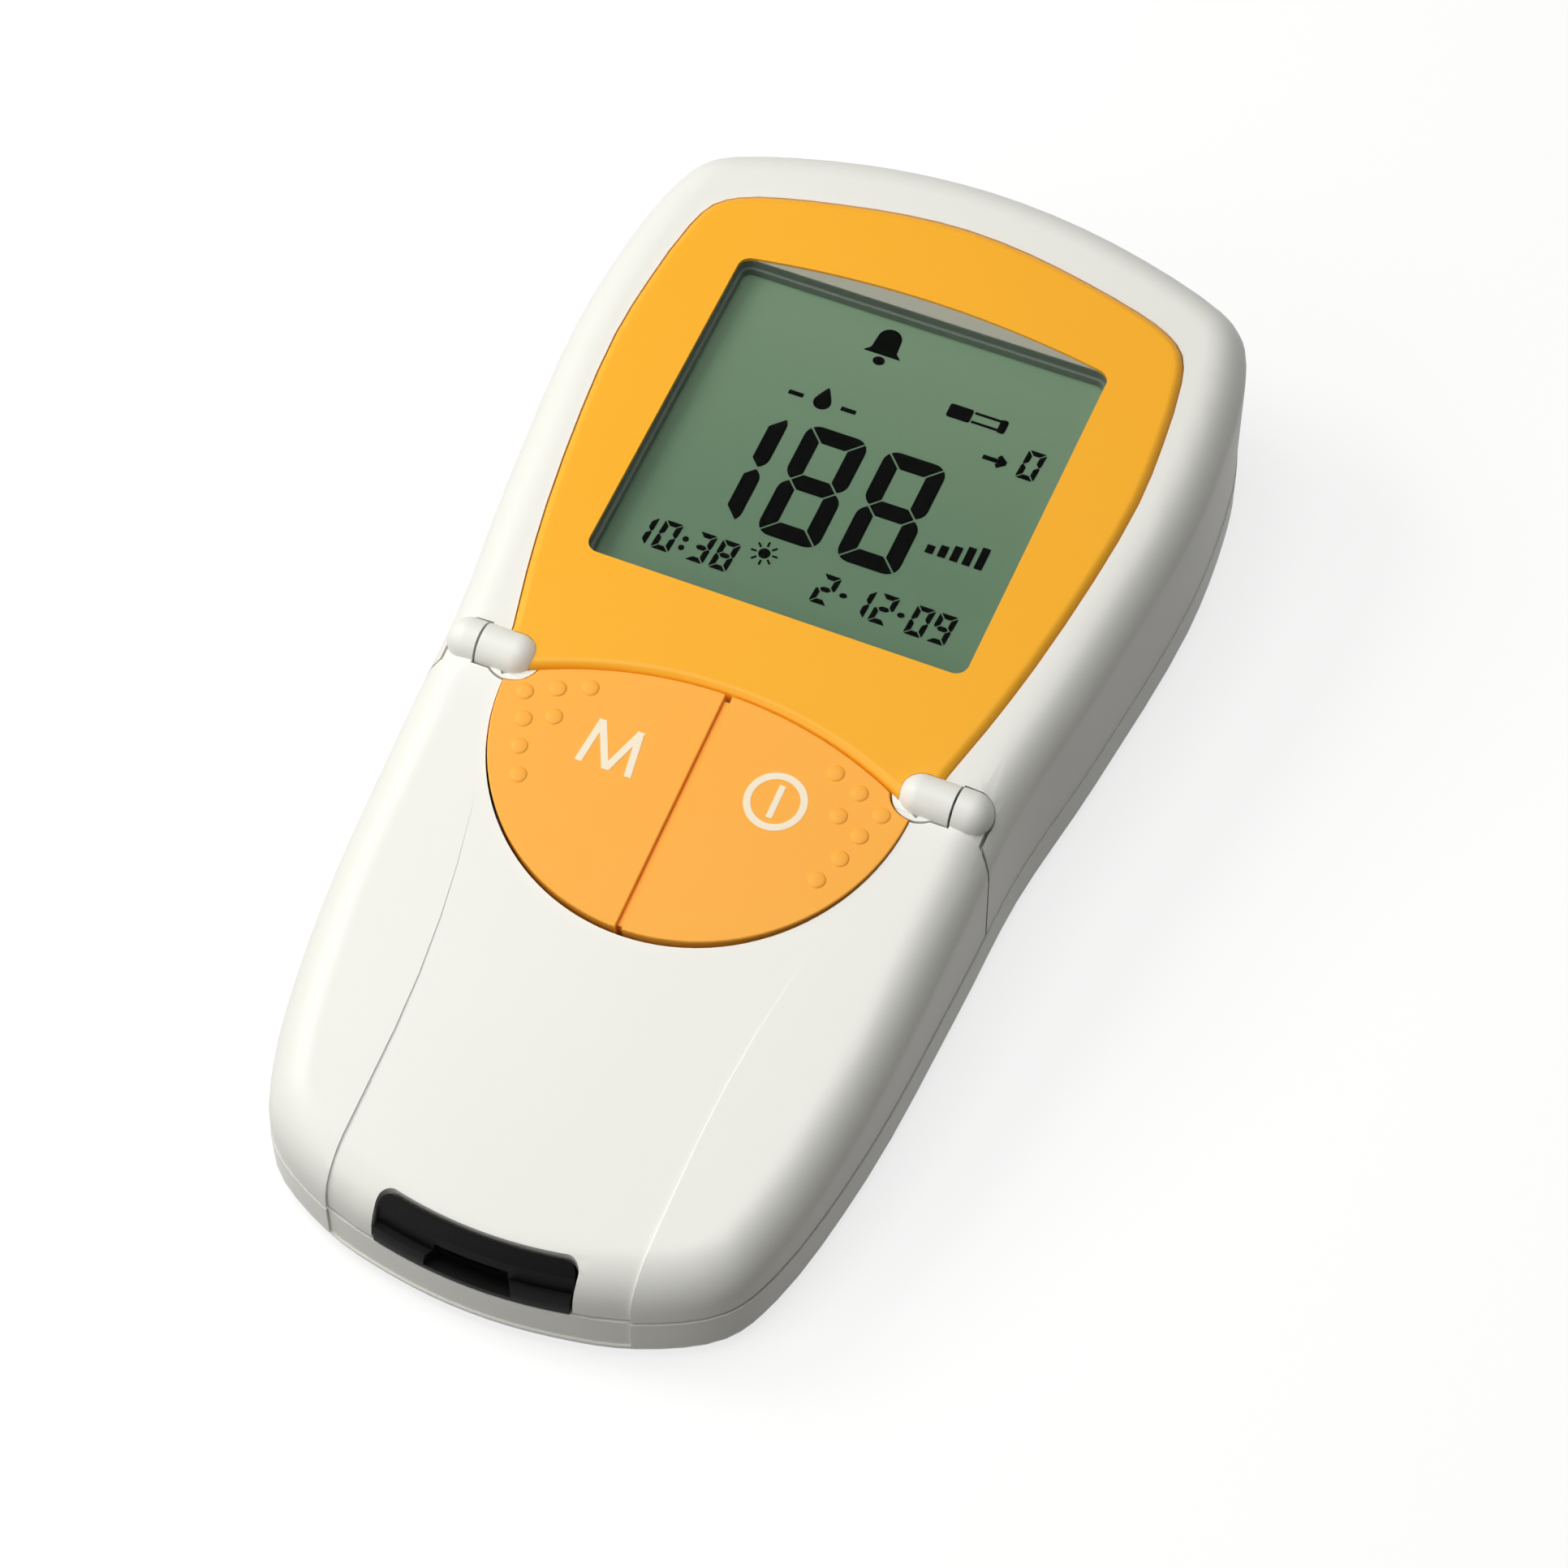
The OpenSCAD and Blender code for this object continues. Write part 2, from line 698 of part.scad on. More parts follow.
module contact_strips() {
    h = lcd_bottom - board_top - seat_gap;
    color("#E9A9A0")
    on_display_plane() for (s = [-1, 1])
        translate([0, window_y + s * (window_l / 2 + lcd_margin - 1.2), board_top + seat_gap / 2 + h / 2])
            cube([window_w - 6, 2, h], center = true);
}

board_w = 56;
board_neck_w = 30;
board_neck_y = -28;
board_rear_y = rear_y - 10;
board_hole_d = 2.1;
board_screw_d = 1.6;
board_screw_head_d = 3.4;

module main_board() {
    color("#2F6B45")
    on_display_plane() difference() {
        translate([0, 0, board_bottom]) linear_extrude(board_t) difference() {
            union() {
                translate([-board_w / 2, bulkhead_y + bulkhead_t + 1])
                    square([board_w, board_rear_y - bulkhead_y - bulkhead_t - 1]);
                translate([-board_neck_w / 2, board_neck_y]) square([board_neck_w, 40]);
            }
            for (s = [-1, 1], y = [board_post.y, board_post_rear_y])
                translate([s * board_post.x, y]) circle(d = board_hole_d, $fn = 24);
            // Notches that let the bosses of the battery bay pass
            for (s = [-1, 1])
                translate([s * board_w / 2, hip_y - 12]) circle(r = 2, $fn = 24);
        }
    }
}

// Middle of the strip of board between the bulkhead and the battery bay
function parts_y() = (bulkhead_y + bulkhead_t + bay_front_y - bay_wall) / 2;

// Chips under the board, as width, length, height, x and y
module board_chips() {
    chips = [[12, 6, 1.2, -12, parts_y()], [7, 5, 1.2, 5, parts_y()], [5, 4, 1, 12.6, parts_y()],
        [4, 8, 1.4, -2, switch_y + 5]];
    color("#26282A")
    on_display_plane() for (c = chips)
        translate([c[3], c[4], board_bottom - c[2] / 2 - tiny]) cube([c[0], c[1], c[2]], center = true);
}

module button_switches() {
    color("#3A3C3E")
    for (s = [-1, 1]) {
        difference() {
            translate([s * switch_x, switch_y, switch_top_z / 2])
                cube([switch_size, switch_size, switch_top_z - 2], center = true);
            on_display_plane() translate([-big / 2, -big / 2, board_top - big + tiny]) cube(big);
        }
        translate([s * switch_x, switch_y, switch_top_z - 1 - tiny])
            cylinder(d = 3.4, h = 1 + tiny, $fn = 32);
    }
}

buzzer_d = 6.5;
buzzer_h = 3.2;
buzzer_x = board_post.x - board_screw_head_d / 2 - buzzer_d / 2 - 0.4;

module buzzer() {
    color("#1E1F20")
    on_display_plane() translate([buzzer_x, parts_y(), board_bottom - buzzer_h / 2 - tiny]) difference() {
        cylinder(d = buzzer_d, h = buzzer_h, center = true, $fn = 48);
        translate([0, 0, -4]) cylinder(d = 1.6, h = 3, $fn = 24);
    }
}

module board_screws() {
    color("#B9BBBD")
    both_sides() for (y = [board_post.y, board_post_rear_y])
        on_display_plane() translate([board_post.x, y, board_bottom - tiny]) {
            translate([0, 0, -1.1]) cylinder(d = board_screw_head_d, h = 1.1, $fn = 32);
            translate([0, 0, -0.2]) cylinder(d = board_screw_d - 0.04, h = board_t + 4, $fn = 24);
        }
}

// Battery bay

bay_gap = 0.3;
bay_w = cell_count * cell_pitch + 1.2;
spring_l = 5;
plate_contact_t = 0.5;
pip_l = 1;
bay_rear_y = rear_y - 13.4;
bay_front_y = bay_rear_y - 2 * plate_contact_t - spring_l - cell_l - pip_l - 0.5;
cover_front_y = bay_front_y - cover_reach;
cell_z = base_z + cover_t + bay_gap + cell_d / 2;
bay_top_z = cell_z + cell_d / 2 + bay_gap;
bay_wall = 1.2;
cell_front_y = bay_front_y + plate_contact_t + spring_l;

function cell_x(i) = (i - (cell_count - 1) / 2) * cell_pitch;

// Odd cells lie the other way round
module each_cell() {
    for (i = [0:cell_count - 1])
        if (i % 2 == 0)
            translate([cell_x(i), 0, cell_z]) children();
        else
            translate([cell_x(i), bay_front_y + bay_rear_y, cell_z]) rotate([0, 0, 180]) children();
}

module batteries() {
    color("#C9A24A")
    each_cell() translate([0, cell_front_y, 0]) rotate([-90, 0, 0]) {
        cylinder(d = cell_d, h = cell_l, $fn = 48);
        translate([0, 0, cell_l]) cylinder(d = 3.6, h = pip_l, $fn = 32);
    }
}

// A wire swept along a path, as one closed tube
module wire_tube(path, r, sides) {
    n = len(path);
    function ahead(i) = let (a = path[max(i - 1, 0)], b = path[min(i + 1, n - 1)]) (b - a) / norm(b - a);
    rings = [for (i = [0:n - 1])
        let (t = ahead(i), out = [path[i].x, 0, path[i].z], u0 = out / norm(out), u = u0 - (u0 * t) * t,
            v = cross(t, u / norm(u)))
        for (k = [0:sides - 1]) let (a = k * 360 / sides) path[i] + r * (cos(a) * u / norm(u) + sin(a) * v)];
    faces = concat(
        [[for (k = [0:sides - 1]) k]],
        [for (i = [0:n - 2]) for (k = [0:sides - 1])
            let (a = i * sides + k, b = i * sides + (k + 1) % sides)
            each [[a, a + sides, b + sides], [a, b + sides, b]]],
        [[for (k = [sides - 1:-1:0]) (n - 1) * sides + k]]);
    polyhedron(points = rings, faces = faces, convexity = 6);
}

module coil_spring() {
    turns = 3;
    per_turn = 10;
    wire_r = 0.25;
    length = spring_l - 0.2;
    path = [for (i = [0:turns * per_turn])
        let (t = i / (turns * per_turn), r = cell_d / 2 - 2 - 1.4 * t, a = 360 * i / per_turn)
        [r * cos(a), wire_r + t * (length - 2 * wire_r), r * sin(a)]];
    wire_tube(path, wire_r, 5);
}

module battery_springs() {
    color("#C8CACC")
    each_cell() translate([0, bay_front_y + plate_contact_t + 0.1, 0]) coil_spring();
}

module battery_plates() {
    color("#C8CACC")
    each_cell() {
        for (y = [bay_front_y + tiny, bay_rear_y - plate_contact_t - tiny])
            translate([0, y + plate_contact_t / 2, 0]) cube([cell_d - 1.8, plate_contact_t, cell_d - 2.4], center = true);
    }
}

module rear_housing() {
    color(white)
    difference() {
        union() {
            difference() {
                lower_form();
                body_block(wall, base_z + floor_t, parting_height + 1);
            }
            // Walls and roof of the battery bay
            box(-bay_w / 2 - bay_wall, bay_w / 2 + bay_wall, bay_front_y - bay_wall, bay_rear_y + bay_wall,
                base_z + cover_t + bay_gap, bay_top_z + bay_wall);
            // Frame that the battery cover slides under
            intersection() {
                body_block(wall / 2, base_z + cover_t - 0.5, base_z + cover_t + bay_gap + bay_wall);
                box(-cover_w / 2 - 3, cover_w / 2 + 3, cover_front_y - 3, big, 0, big);
            }
            // Bosses that the case screws pull against
            both_sides() {
                translate([rear_boss.x, rear_boss.y, base_z + 0.5])
                    cylinder(r = 3.4, h = parting_height - seat_gap - base_z - 0.5, $fn = 32);
                translate([front_boss.x, front_boss.y, base_z + 0.5])
                    cylinder(r = 3.4, h = deck_low_z - seat_gap - base_z - 0.5, $fn = 32);
            }
            // Seat of the optics block
            box(-optics_w / 2 - 1.5, optics_w / 2 + 1.5, optics_y - optics_l / 2 - 1.5,
                optics_y + optics_l / 2 + 1.5, base_z + 0.5, base_z + floor_t + 1);
        }
        // Room for the cells, open towards the cover
        box(-bay_w / 2, bay_w / 2, bay_front_y, bay_rear_y, -1, bay_top_z);
        cover_space(0.2);
        // Soft step that carries on from the middle panel of the flap
        translate([0, 0, base_z + base_radius + 0.1]) linear_extrude(big) difference() {
            translate([-crease_x, front_y - 5]) square([2 * crease_x, 12]);
            polygon(outline(body_stations, crease_depth, fine_steps));
        }
        // Seats of the feet
        foot_places() translate([0, 0, -1]) cylinder(d = foot_d + 0.1, h = 1 + base_z + foot_seat, $fn = 48);
        both_sides() for (b = [rear_boss, front_boss])
            translate([b.x, b.y, 0]) {
                translate([0, 0, -1]) cylinder(d = screw_head_d + 0.4, h = 1 + screw_seat_z, $fn = 32);
                cylinder(d = screw_d + 0.3, h = 20, $fn = 32);
            }
        translate([-optics_w / 2 - 0.1, optics_y - optics_l / 2 - 0.1, base_z + floor_t])
            cube([optics_w + 0.2, optics_l + 0.2, 5]);
    }
}

screw_seat_z = base_z + 2.6;
tongue_w = 1;
tongue_low_z = base_z + 0.8;
cover_run = 10;

// Space that the battery cover takes up, with its tongues and its run to the rear
module cover_space(gap) {
    box(-cover_w / 2 - gap, cover_w / 2 + gap, cover_front_y - gap, big, -1, base_z + cover_t + gap);
    box(-cover_w / 2 - tongue_w - gap, cover_w / 2 + tongue_w + gap, cover_front_y + 2 - gap, rear_y - 6,
        tongue_low_z - gap, base_z + cover_t + gap);
    difference() {
        box(-cover_w / 2 - gap, cover_w / 2 + gap, rear_y - 12, big, -1, cover_lip_h + gap);
        body_block(wall + gap, -2, big);
    }
}

module battery_cover() {
    color(white)
    difference() {
        union() {
            intersection() {
                lower_form();
                union() {
                    box(-cover_w / 2, cover_w / 2, cover_front_y, big, 0, base_z + cover_t);
                    difference() {
                        box(-cover_w / 2, cover_w / 2, rear_y - 12, big, 0, cover_lip_h);
                        body_block(wall, base_z + cover_t, big);
                    }
                }
            }
            box(-cover_w / 2 - tongue_w, cover_w / 2 + tongue_w, cover_front_y + 2, rear_y - 6 - cover_run,
                tongue_low_z, base_z + cover_t);
        }
        // Finger grip: ribs sunk into the rear of the cover
        for (i = [0:4])
            translate([0, rear_y - 14 - i * 2.2, base_z]) rotate([0, 90, 0])
                cylinder(r = 0.5, h = 18, center = true, $fn = 24);
    }
}

foot_seat = 0.8;
rear_foot = [cover_w / 2 + tongue_w + foot_d / 2 + 1.3, rear_y - 35];
front_foot = [tip_x - 7, front_y + 32];

module foot_places() {
    for (s = [-1, 1]) {
        translate([s * rear_foot.x, rear_foot.y, 0]) children();
        translate([s * front_foot.x, front_foot.y, 0]) children();
    }
}

module rubber_feet() {
    color("#3B3B3B")
    foot_places() cylinder(d = foot_d, h = foot_h + foot_seat - tiny, $fn = 48);
}

module case_screws() {
    color("#A9ABAD")
    both_sides() for (b = [rear_boss, front_boss])
        translate([b.x, b.y, screw_seat_z - 1.9]) difference() {
            union() {
                cylinder(d = screw_head_d, h = 1.8, $fn = 32);
                translate([0, 0, 1.8 - tiny]) cylinder(d = screw_d - 0.45, h = screw_l - 2, $fn = 32);
            }
            for (a = [0, 90]) rotate([0, 0, a]) cube([2.8, 0.6, 1.6], center = true);
        }
}

// Measuring chamber

optics_w = 17;
optics_l = 22;
optics_y = front_y + 23;
deck_margin = wall + 0.8;
deck_low_z = deck_height - deck_t;
guide_back_y = front_y + guide_l;
guide_low_z = deck_low_z - 1.2;
// Tip of a case screw, and the top of the boss that it bites in
screw_tip_z = screw_seat_z - 0.1 + screw_l - 2;

module chamber_deck() {
    island_r = button_r - 0.2;
    island_wall = 1.4;
    color("#E3E2DA")
    difference() {
        union() {
            // Deck under the flap
            intersection() {
                body_block(deck_margin, deck_low_z, deck_height);
                box(-big, big, -big, seam_y + 4, 0, big);
            }
            // Skirt that stands on the floor of the lower shell
            intersection() {
                difference() {
                    body_block(deck_margin + 0.6, base_z + floor_t + seat_gap, deck_height - 0.5);
                    body_block(deck_margin + 2, base_z, deck_height + 1);
                }
                box(-big, big, front_y + 12, seam_y + 4, 0, big);
            }
            // Island wall under the buttons
            intersection() {
                translate([0, 0, deck_low_z]) linear_extrude(big) button_outline(island_r);
                below_button_plane(skirt_depth + button_travel + 0.4);
                box(-big, big, -big, bulkhead_y - 1, 0, big);
            }
            both_sides() translate([front_boss.x, front_boss.y, deck_low_z])
                cylinder(r = 3, h = screw_tip_z + 1 - deck_low_z, $fn = 32);
        }
        // Inside of the island stays open for the board
        linear_extrude(big) intersection() {
            button_outline(island_r - island_wall);
            translate([-big / 2, board_neck_y - 1]) square(big);
        }
        translate([0, 0, deck_height]) linear_extrude(big) button_outline(island_r - island_wall);
        box(-board_neck_w / 2 - 1, board_neck_w / 2 + 1, button_y, 0, deck_height, big);
        // Recess for the strip guide
        box(-guide_w / 2 - 0.2, guide_w / 2 + 0.2, front_y, guide_back_y + 0.2, 0, big);
        both_sides() translate([front_boss.x, front_boss.y, 0])
            cylinder(d = screw_d - 0.4, h = screw_tip_z + 0.2, $fn = 32);
    }
}

notch_gap = 0.5;
nose_l = 3.6;
nose_gap = 0.3;
nose_ledge = 0.9;
nose_corner = 1.3;
guide_rail_h = 1.4;
slot_z = deck_height + 0.9;
mouth_w = 10.6;
mouth_depth = 2.5;
mouth_h = 2.9;
// Radius of the strip end as seen from above
front_r = (tip_x - front_corner) ^ 2 / (2 * front_bow);

// Plan of the nose: its rear edge keeps to the bow of the strip end, and its corners are rounded
module nose_plan(half_w, l, corner) {
    rear_r = front_r - l;
    corner_x = half_w - corner;
    corner_y = front_r - sqrt((rear_r + corner) ^ 2 - corner_x ^ 2);
    touch_x = corner_x * rear_r / (rear_r + corner);
    translate([0, front_y]) difference() {
        translate([-half_w, -5]) square([2 * half_w, l + 10]);
        translate([0, front_r]) rotate(1) circle(r = rear_r, $fn = 180);
        both_sides() difference() {
            translate([touch_x, corner_y]) square(l + 10);
            translate([corner_x, corner_y]) circle(r = corner, $fn = 32);
        }
    }
}

// A point of the nose's round face, at an angle above its upright foot
function nose_round(a) =
    let (r = top_radius - nose_gap, inset = nose_gap + r * (1 - cos(a)))
    [front_r - inset, top_z(front_y + inset) - nose_gap - r * (1 - sin(a))];

// Nose of the strip guide, turned about the middle of the strip end's bow: a lip, a ledge behind it,
// a steep face, and a band that carries on the round of the flap
module guide_nose() {
    inner_r = front_r - nose_l - 0.6;
    lip = nose_round(20);
    profile = concat(
        [[inner_r, parting_height + seat_gap], [front_r - nose_gap, parting_height + seat_gap]],
        [nose_round(0), nose_round(10), lip, lip - [nose_ledge, 0]],
        [for (a = [48:8:72]) nose_round(a)],
        [[inner_r, nose_round(72).y + 0.1]]);
    intersection() {
        translate([0, front_y + front_r, 0]) rotate_extrude($fn = 180) polygon(profile);
        linear_extrude(big) nose_plan(guide_w / 2 - 0.2, nose_l, nose_corner);
    }
}

module strip_guide() {
    color("#1A1B19")
    difference() {
        union() {
            // Tray that carries the strip
            intersection() {
                box(-guide_w / 2, guide_w / 2, front_y, guide_back_y, guide_low_z, slot_z);
                body_block(wall + 0.4, base_z, big);
            }
            both_sides() box(strip_w / 2 + 0.3, strip_w / 2 + 2.3, front_y + nose_l, guide_back_y,
                slot_z - tiny, slot_z + guide_rail_h);
            both_sides() box(guide_w / 2 - 1.6, guide_w / 2, front_y + 6, guide_back_y, slot_z - tiny,
                slot_z + guide_rail_h - 0.4);
            guide_nose();
        }
        // Mouth with slanting sides
        translate([0, 0, slot_z - 0.9]) linear_extrude(mouth_h) polygon([
            [-mouth_w / 2 - 1, front_y - 1], [mouth_w / 2 + 1, front_y - 1],
            [mouth_w / 2 - 1.2, front_y + mouth_depth], [-mouth_w / 2 + 1.2, front_y + mouth_depth]]);
        // Slot for the strip
        box(-strip_w / 2 - 0.15, strip_w / 2 + 0.15, front_y - 1, front_y + nose_l + 1, slot_z,
            slot_z + strip_slot_h);
        // Opening over the optics
        translate([0, optics_y, 0]) cylinder(d = 6.4, h = big, $fn = 48);
    }
}

module optics_block() {
    top = guide_low_z - 0.1;
    color("#2A2B2D")
    difference() {
        union() {
            box(-optics_w / 2, optics_w / 2, optics_y - optics_l / 2, optics_y + optics_l / 2,
                base_z + floor_t + 0.1, top);
            translate([0, optics_y, top - tiny]) cylinder(d = 6, h = deck_height + 0.3 - top, $fn = 48);
        }
        // Barrel of the light sensor and two slanting bores for the lamps
        translate([0, optics_y, base_z + floor_t + 1.2]) cylinder(d = 2.4, h = 20, $fn = 32);
        for (s = [-1, 1])
            translate([0, optics_y, deck_height + 0.3]) rotate([0, s * 42, 0]) translate([0, 0, -4.4])
                cylinder(d = 1.8, h = 9, $fn = 32);
        translate([0, optics_y, deck_height - 0.3]) cylinder(d = 5, h = 2, $fn = 48);
    }
}

module optics_window() {
    color([0.75, 0.85, 0.9, 0.5])
    translate([0, optics_y, deck_height - 0.3 + tiny]) cylinder(d = 4.96, h = 0.8, $fn = 48);
}

// Flat cable from the optics block up to the board
ribbon_t = 0.3;
ribbon_w = 8;

module sensor_ribbon() {
    low = base_z + floor_t + 1.15;
    start_y = optics_y + optics_l / 2 + 0.1;
    rise_y = board_neck_y + 5;
    high = display_z(rise_y) + board_bottom / cos(display_tilt) - 0.12;
    color("#D8B45A")
    translate([-ribbon_w / 2, 0, 0]) rotate([90, 0, 90]) linear_extrude(ribbon_w) polygon([
        [start_y, low], [rise_y - 3, low], [rise_y, low + 2], [rise_y, high], [rise_y - ribbon_t, high],
        [rise_y - ribbon_t, low + 2 + ribbon_t / 2], [rise_y - 3 - ribbon_t / 2, low + ribbon_t],
        [start_y, low + ribbon_t]]);
}

// Measuring flap

// Edge of the flap's middle panel, which spreads towards the buttons
crease_flare = 3.6;
crease_straight_y = front_y + 20;
fade_y = front_y + 53;
fade_end_y = front_y + 9.4;

function crease_edge(y) = crease_x + crease_flare * (max(0, y - crease_straight_y) / 31) ^ 2;

// What is cut away over the middle panel: nothing beside the buttons, its full depth at the strip end
module panel_recess() {
    fade_tilt = atan(flap_slope + crease_depth / (fade_y - fade_end_y));
    edge = [for (y = [fade_y + 4:-7:crease_straight_y - 1]) [crease_edge(y), y]];
    plan = concat(edge, [[crease_x, front_y - 5], [-crease_x, front_y - 5]],
        [for (i = [len(edge) - 1:-1:0]) mirrored(edge[i])]);
    difference() {
        linear_extrude(big) polygon(plan);
        upper_form(coarse_steps, shell_step + crease_depth, round_steps);
        intersection() {
            translate([0, fade_y, top_z(fade_y)]) rotate([fade_tilt, 0, 0])
                translate([-big / 2, -big / 2, -big]) cube(big);
            box(-big, big, fade_end_y, big, -1, big);
        }
    }
}

module flap_lug() {
    knuckle(moving_face_x, knuckle_out_x);
    low_z = hinge_z - knuckle_r;
    intersection() {
        body_form();
        union() {
            box(moving_face_x, knuckle_out_x - 0.5, hinge_y - knuckle_r - 3, hinge_y, low_z, big);
            // Root of the lug, spread along the skin
            intersection() {
                box(button_r + 1.2, waist_x - wall / 2, seam_y - 4, hinge_y, low_z - 0.4, big);
                flap_region(flap_gap);
            }
        }
    }
}

module measuring_flap() {
    color(white)
    difference() {
        union() {
            intersection() {
                body_form();
                difference() {
                    flap_region(flap_gap);
                    inner_form();
                    // Round opening for the buttons
                    linear_extrude(big) button_outline(button_r + button_gap);
                }
            }
            both_sides() flap_lug();
        }
        translate([-big / 2, -big / 2, parting_height + flap_gap - big]) cube(big);
        both_sides() {
            // Room to turn round the fixed knuckles
            x_cylinder(knuckle_in_x - 1, moving_face_x, knuckle_r, flap_gap);
            hinge_web(flap_gap);
            x_cylinder(knuckle_split_x - 1, knuckle_split_x + pin_l / 2 + 0.1, pin_d / 2 + pin_play);
        }
        // Notch for the nose of the strip guide
        linear_extrude(big) nose_plan(guide_w / 2 + 0.1, nose_l + notch_gap, nose_corner + 0.3);
        panel_recess();
    }
}

module light_seal() {
    seal_w = 15;
    seal_l = 18;
    color("#232323")
    difference() {
        translate([0, optics_y, seal_low_z]) linear_extrude(10) difference() {
            rounded_rect(seal_w, seal_l, 2);
            rounded_rect(seal_w - 5, seal_l - 5, 1);
        }
        // The foam ends on the inside of the flap
        on_flap_plane() translate([-big / 2, -big / 2, -wall - seat_gap]) cube(big);
    }
}

seal_low_z = slot_z + guide_rail_h + 0.4;

module hinge_pins() {
    color("#BFC1C3")
    both_sides() x_cylinder(knuckle_split_x - pin_l / 2, knuckle_split_x + pin_l / 2, pin_d / 2);
}

module infrared_window() {
    color("#3A0F16")
    intersection() {
        translate([0, rear_y, infrared_z]) cube([infrared_w, 4 * wall, infrared_h], center = true);
        difference() {
            body_block(seat_gap, 0, big);
            body_block(wall - 0.3, -1, 2 * big);
        }
    }
}

rear_housing();
front_housing();
face_plate();
display_lens();
display_frame();
lcd_panel();
contact_strips();
main_board();
board_chips();
button_switches();
buzzer();
board_screws();
memory_button();
power_button();
chamber_deck();
strip_guide();
optics_block();
optics_window();
sensor_ribbon();
measuring_flap();
light_seal();
hinge_pins();
infrared_window();
batteries();
battery_springs();
battery_plates();
battery_cover();
case_screws();
rubber_feet();
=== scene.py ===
# %% [markdown]
# A hand-held blood-fat meter, dressed around its CAD model.
# The CAD model holds every piece at its true size, in metres. This lesson gives the pieces that
# show their finish: soft moulded edges, printed legends, the figures of the display and one
# material for each kind of surface. Nothing is moved, so every new piece sits where the CAD says.

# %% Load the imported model
import math

import bmesh
import bpy
from mathutils import Matrix, Vector


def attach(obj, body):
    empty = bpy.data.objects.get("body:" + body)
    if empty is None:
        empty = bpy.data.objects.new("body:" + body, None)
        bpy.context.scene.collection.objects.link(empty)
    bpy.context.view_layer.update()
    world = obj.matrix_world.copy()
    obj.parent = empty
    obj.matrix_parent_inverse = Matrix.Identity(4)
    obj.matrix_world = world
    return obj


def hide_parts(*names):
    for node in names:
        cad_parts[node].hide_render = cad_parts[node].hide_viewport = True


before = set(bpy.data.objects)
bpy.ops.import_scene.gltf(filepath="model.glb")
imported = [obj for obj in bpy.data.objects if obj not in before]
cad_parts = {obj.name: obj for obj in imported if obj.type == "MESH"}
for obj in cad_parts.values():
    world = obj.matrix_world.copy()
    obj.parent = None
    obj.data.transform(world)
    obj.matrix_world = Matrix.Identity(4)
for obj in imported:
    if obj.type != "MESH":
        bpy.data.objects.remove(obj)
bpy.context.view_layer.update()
print("nodes", len(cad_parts))

# %% [markdown]
# Sizes are written in millimetres, as on the maker's drawing, and turned to metres in one place.
# Colours are written as the hex values that a paint chart gives, and turned to the linear values
# that a shader works in.

# %% Units and colours
MM = 0.001


def mm(x, y, z):
    return Vector((x, y, z)) * MM


def linear(hex_colour):
    def channel(value):
        return value / 12.92 if value <= 0.04045 else ((value + 0.055) / 1.055) ** 2.4

    parts = [int(hex_colour[i : i + 2], 16) / 255 for i in (1, 3, 5)]
    return (*[channel(part) for part in parts], 1.0)


def per_size(size_mm):
    """The scale of a pattern whose marks are this many millimetres across."""
    return 1 / (size_mm * MM)


# %% [markdown]
# The meter lies on its four feet and is looked at from the front right, from well above. The
# camera stands 560 mm away with a long lens, so that the far end is hardly smaller than the near
# end, as in a catalogue picture. A camera can be aimed by a constraint, but here its three axes are
# worked out, which gives the small roll as well.

# %% Camera
VIEW_TURN = math.radians(23.52)
VIEW_HEIGHT = math.radians(55.02)
VIEW_ROLL = math.radians(-0.36)
VIEW_DISTANCE = 559.9
VIEW_SIDE = 4.631
VIEW_RISE = -7.15
VIEW_TARGET = mm(0, -1, 15)
FOCAL_LENGTH = 110
SENSOR_WIDTH = 36
NEAREST_METRES = 0.01
FARTHEST_METRES = 20

to_right = Vector((math.cos(VIEW_TURN), math.sin(VIEW_TURN), 0))
to_camera = Vector((
    math.sin(VIEW_TURN) * math.cos(VIEW_HEIGHT),
    -math.cos(VIEW_TURN) * math.cos(VIEW_HEIGHT),
    math.sin(VIEW_HEIGHT),
))
to_top = to_camera.cross(to_right)
rolled_right = to_right * math.cos(VIEW_ROLL) + to_top * math.sin(VIEW_ROLL)
rolled_top = to_top * math.cos(VIEW_ROLL) - to_right * math.sin(VIEW_ROLL)

long_lens = bpy.data.cameras.new("camera")
long_lens.lens = FOCAL_LENGTH
long_lens.sensor_width = SENSOR_WIDTH
long_lens.clip_start = NEAREST_METRES
long_lens.clip_end = FARTHEST_METRES
camera = bpy.data.objects.new("camera", long_lens)
stand = Matrix((rolled_right, rolled_top, to_camera)).transposed().to_4x4()
away = to_camera * VIEW_DISTANCE + to_right * VIEW_SIDE + to_top * VIEW_RISE
stand.translation = VIEW_TARGET + away * MM
camera.matrix_world = stand
bpy.context.scene.collection.objects.link(camera)
bpy.context.scene.camera = camera
print("camera at", [round(v, 4) for v in stand.translation])

# %% [markdown]
# A material is a small tree of nodes. One function adds a node with its settings and its inputs,
# and an input may be a number, a colour or the outlet of another node.

# %% Adding nodes


def add_node(tree, kind, settings=None, inputs=None):
    node = tree.nodes.new(kind)
    for name, value in (settings or {}).items():
        setattr(node, name, value)
    for name, value in (inputs or {}).items():
        if isinstance(value, bpy.types.NodeSocket):
            tree.links.new(value, node.inputs[name])
        else:
            node.inputs[name].default_value = value
    return node


def start_material(name, shader_inputs):
    material = bpy.data.materials.new(name)
    material.use_nodes = True
    tree = material.node_tree
    tree.nodes.clear()
    shader = add_node(tree, "ShaderNodeBsdfPrincipled", inputs=shader_inputs)
    add_node(tree, "ShaderNodeOutputMaterial", inputs={"Surface": shader.outputs[0]})
    return material, tree, shader


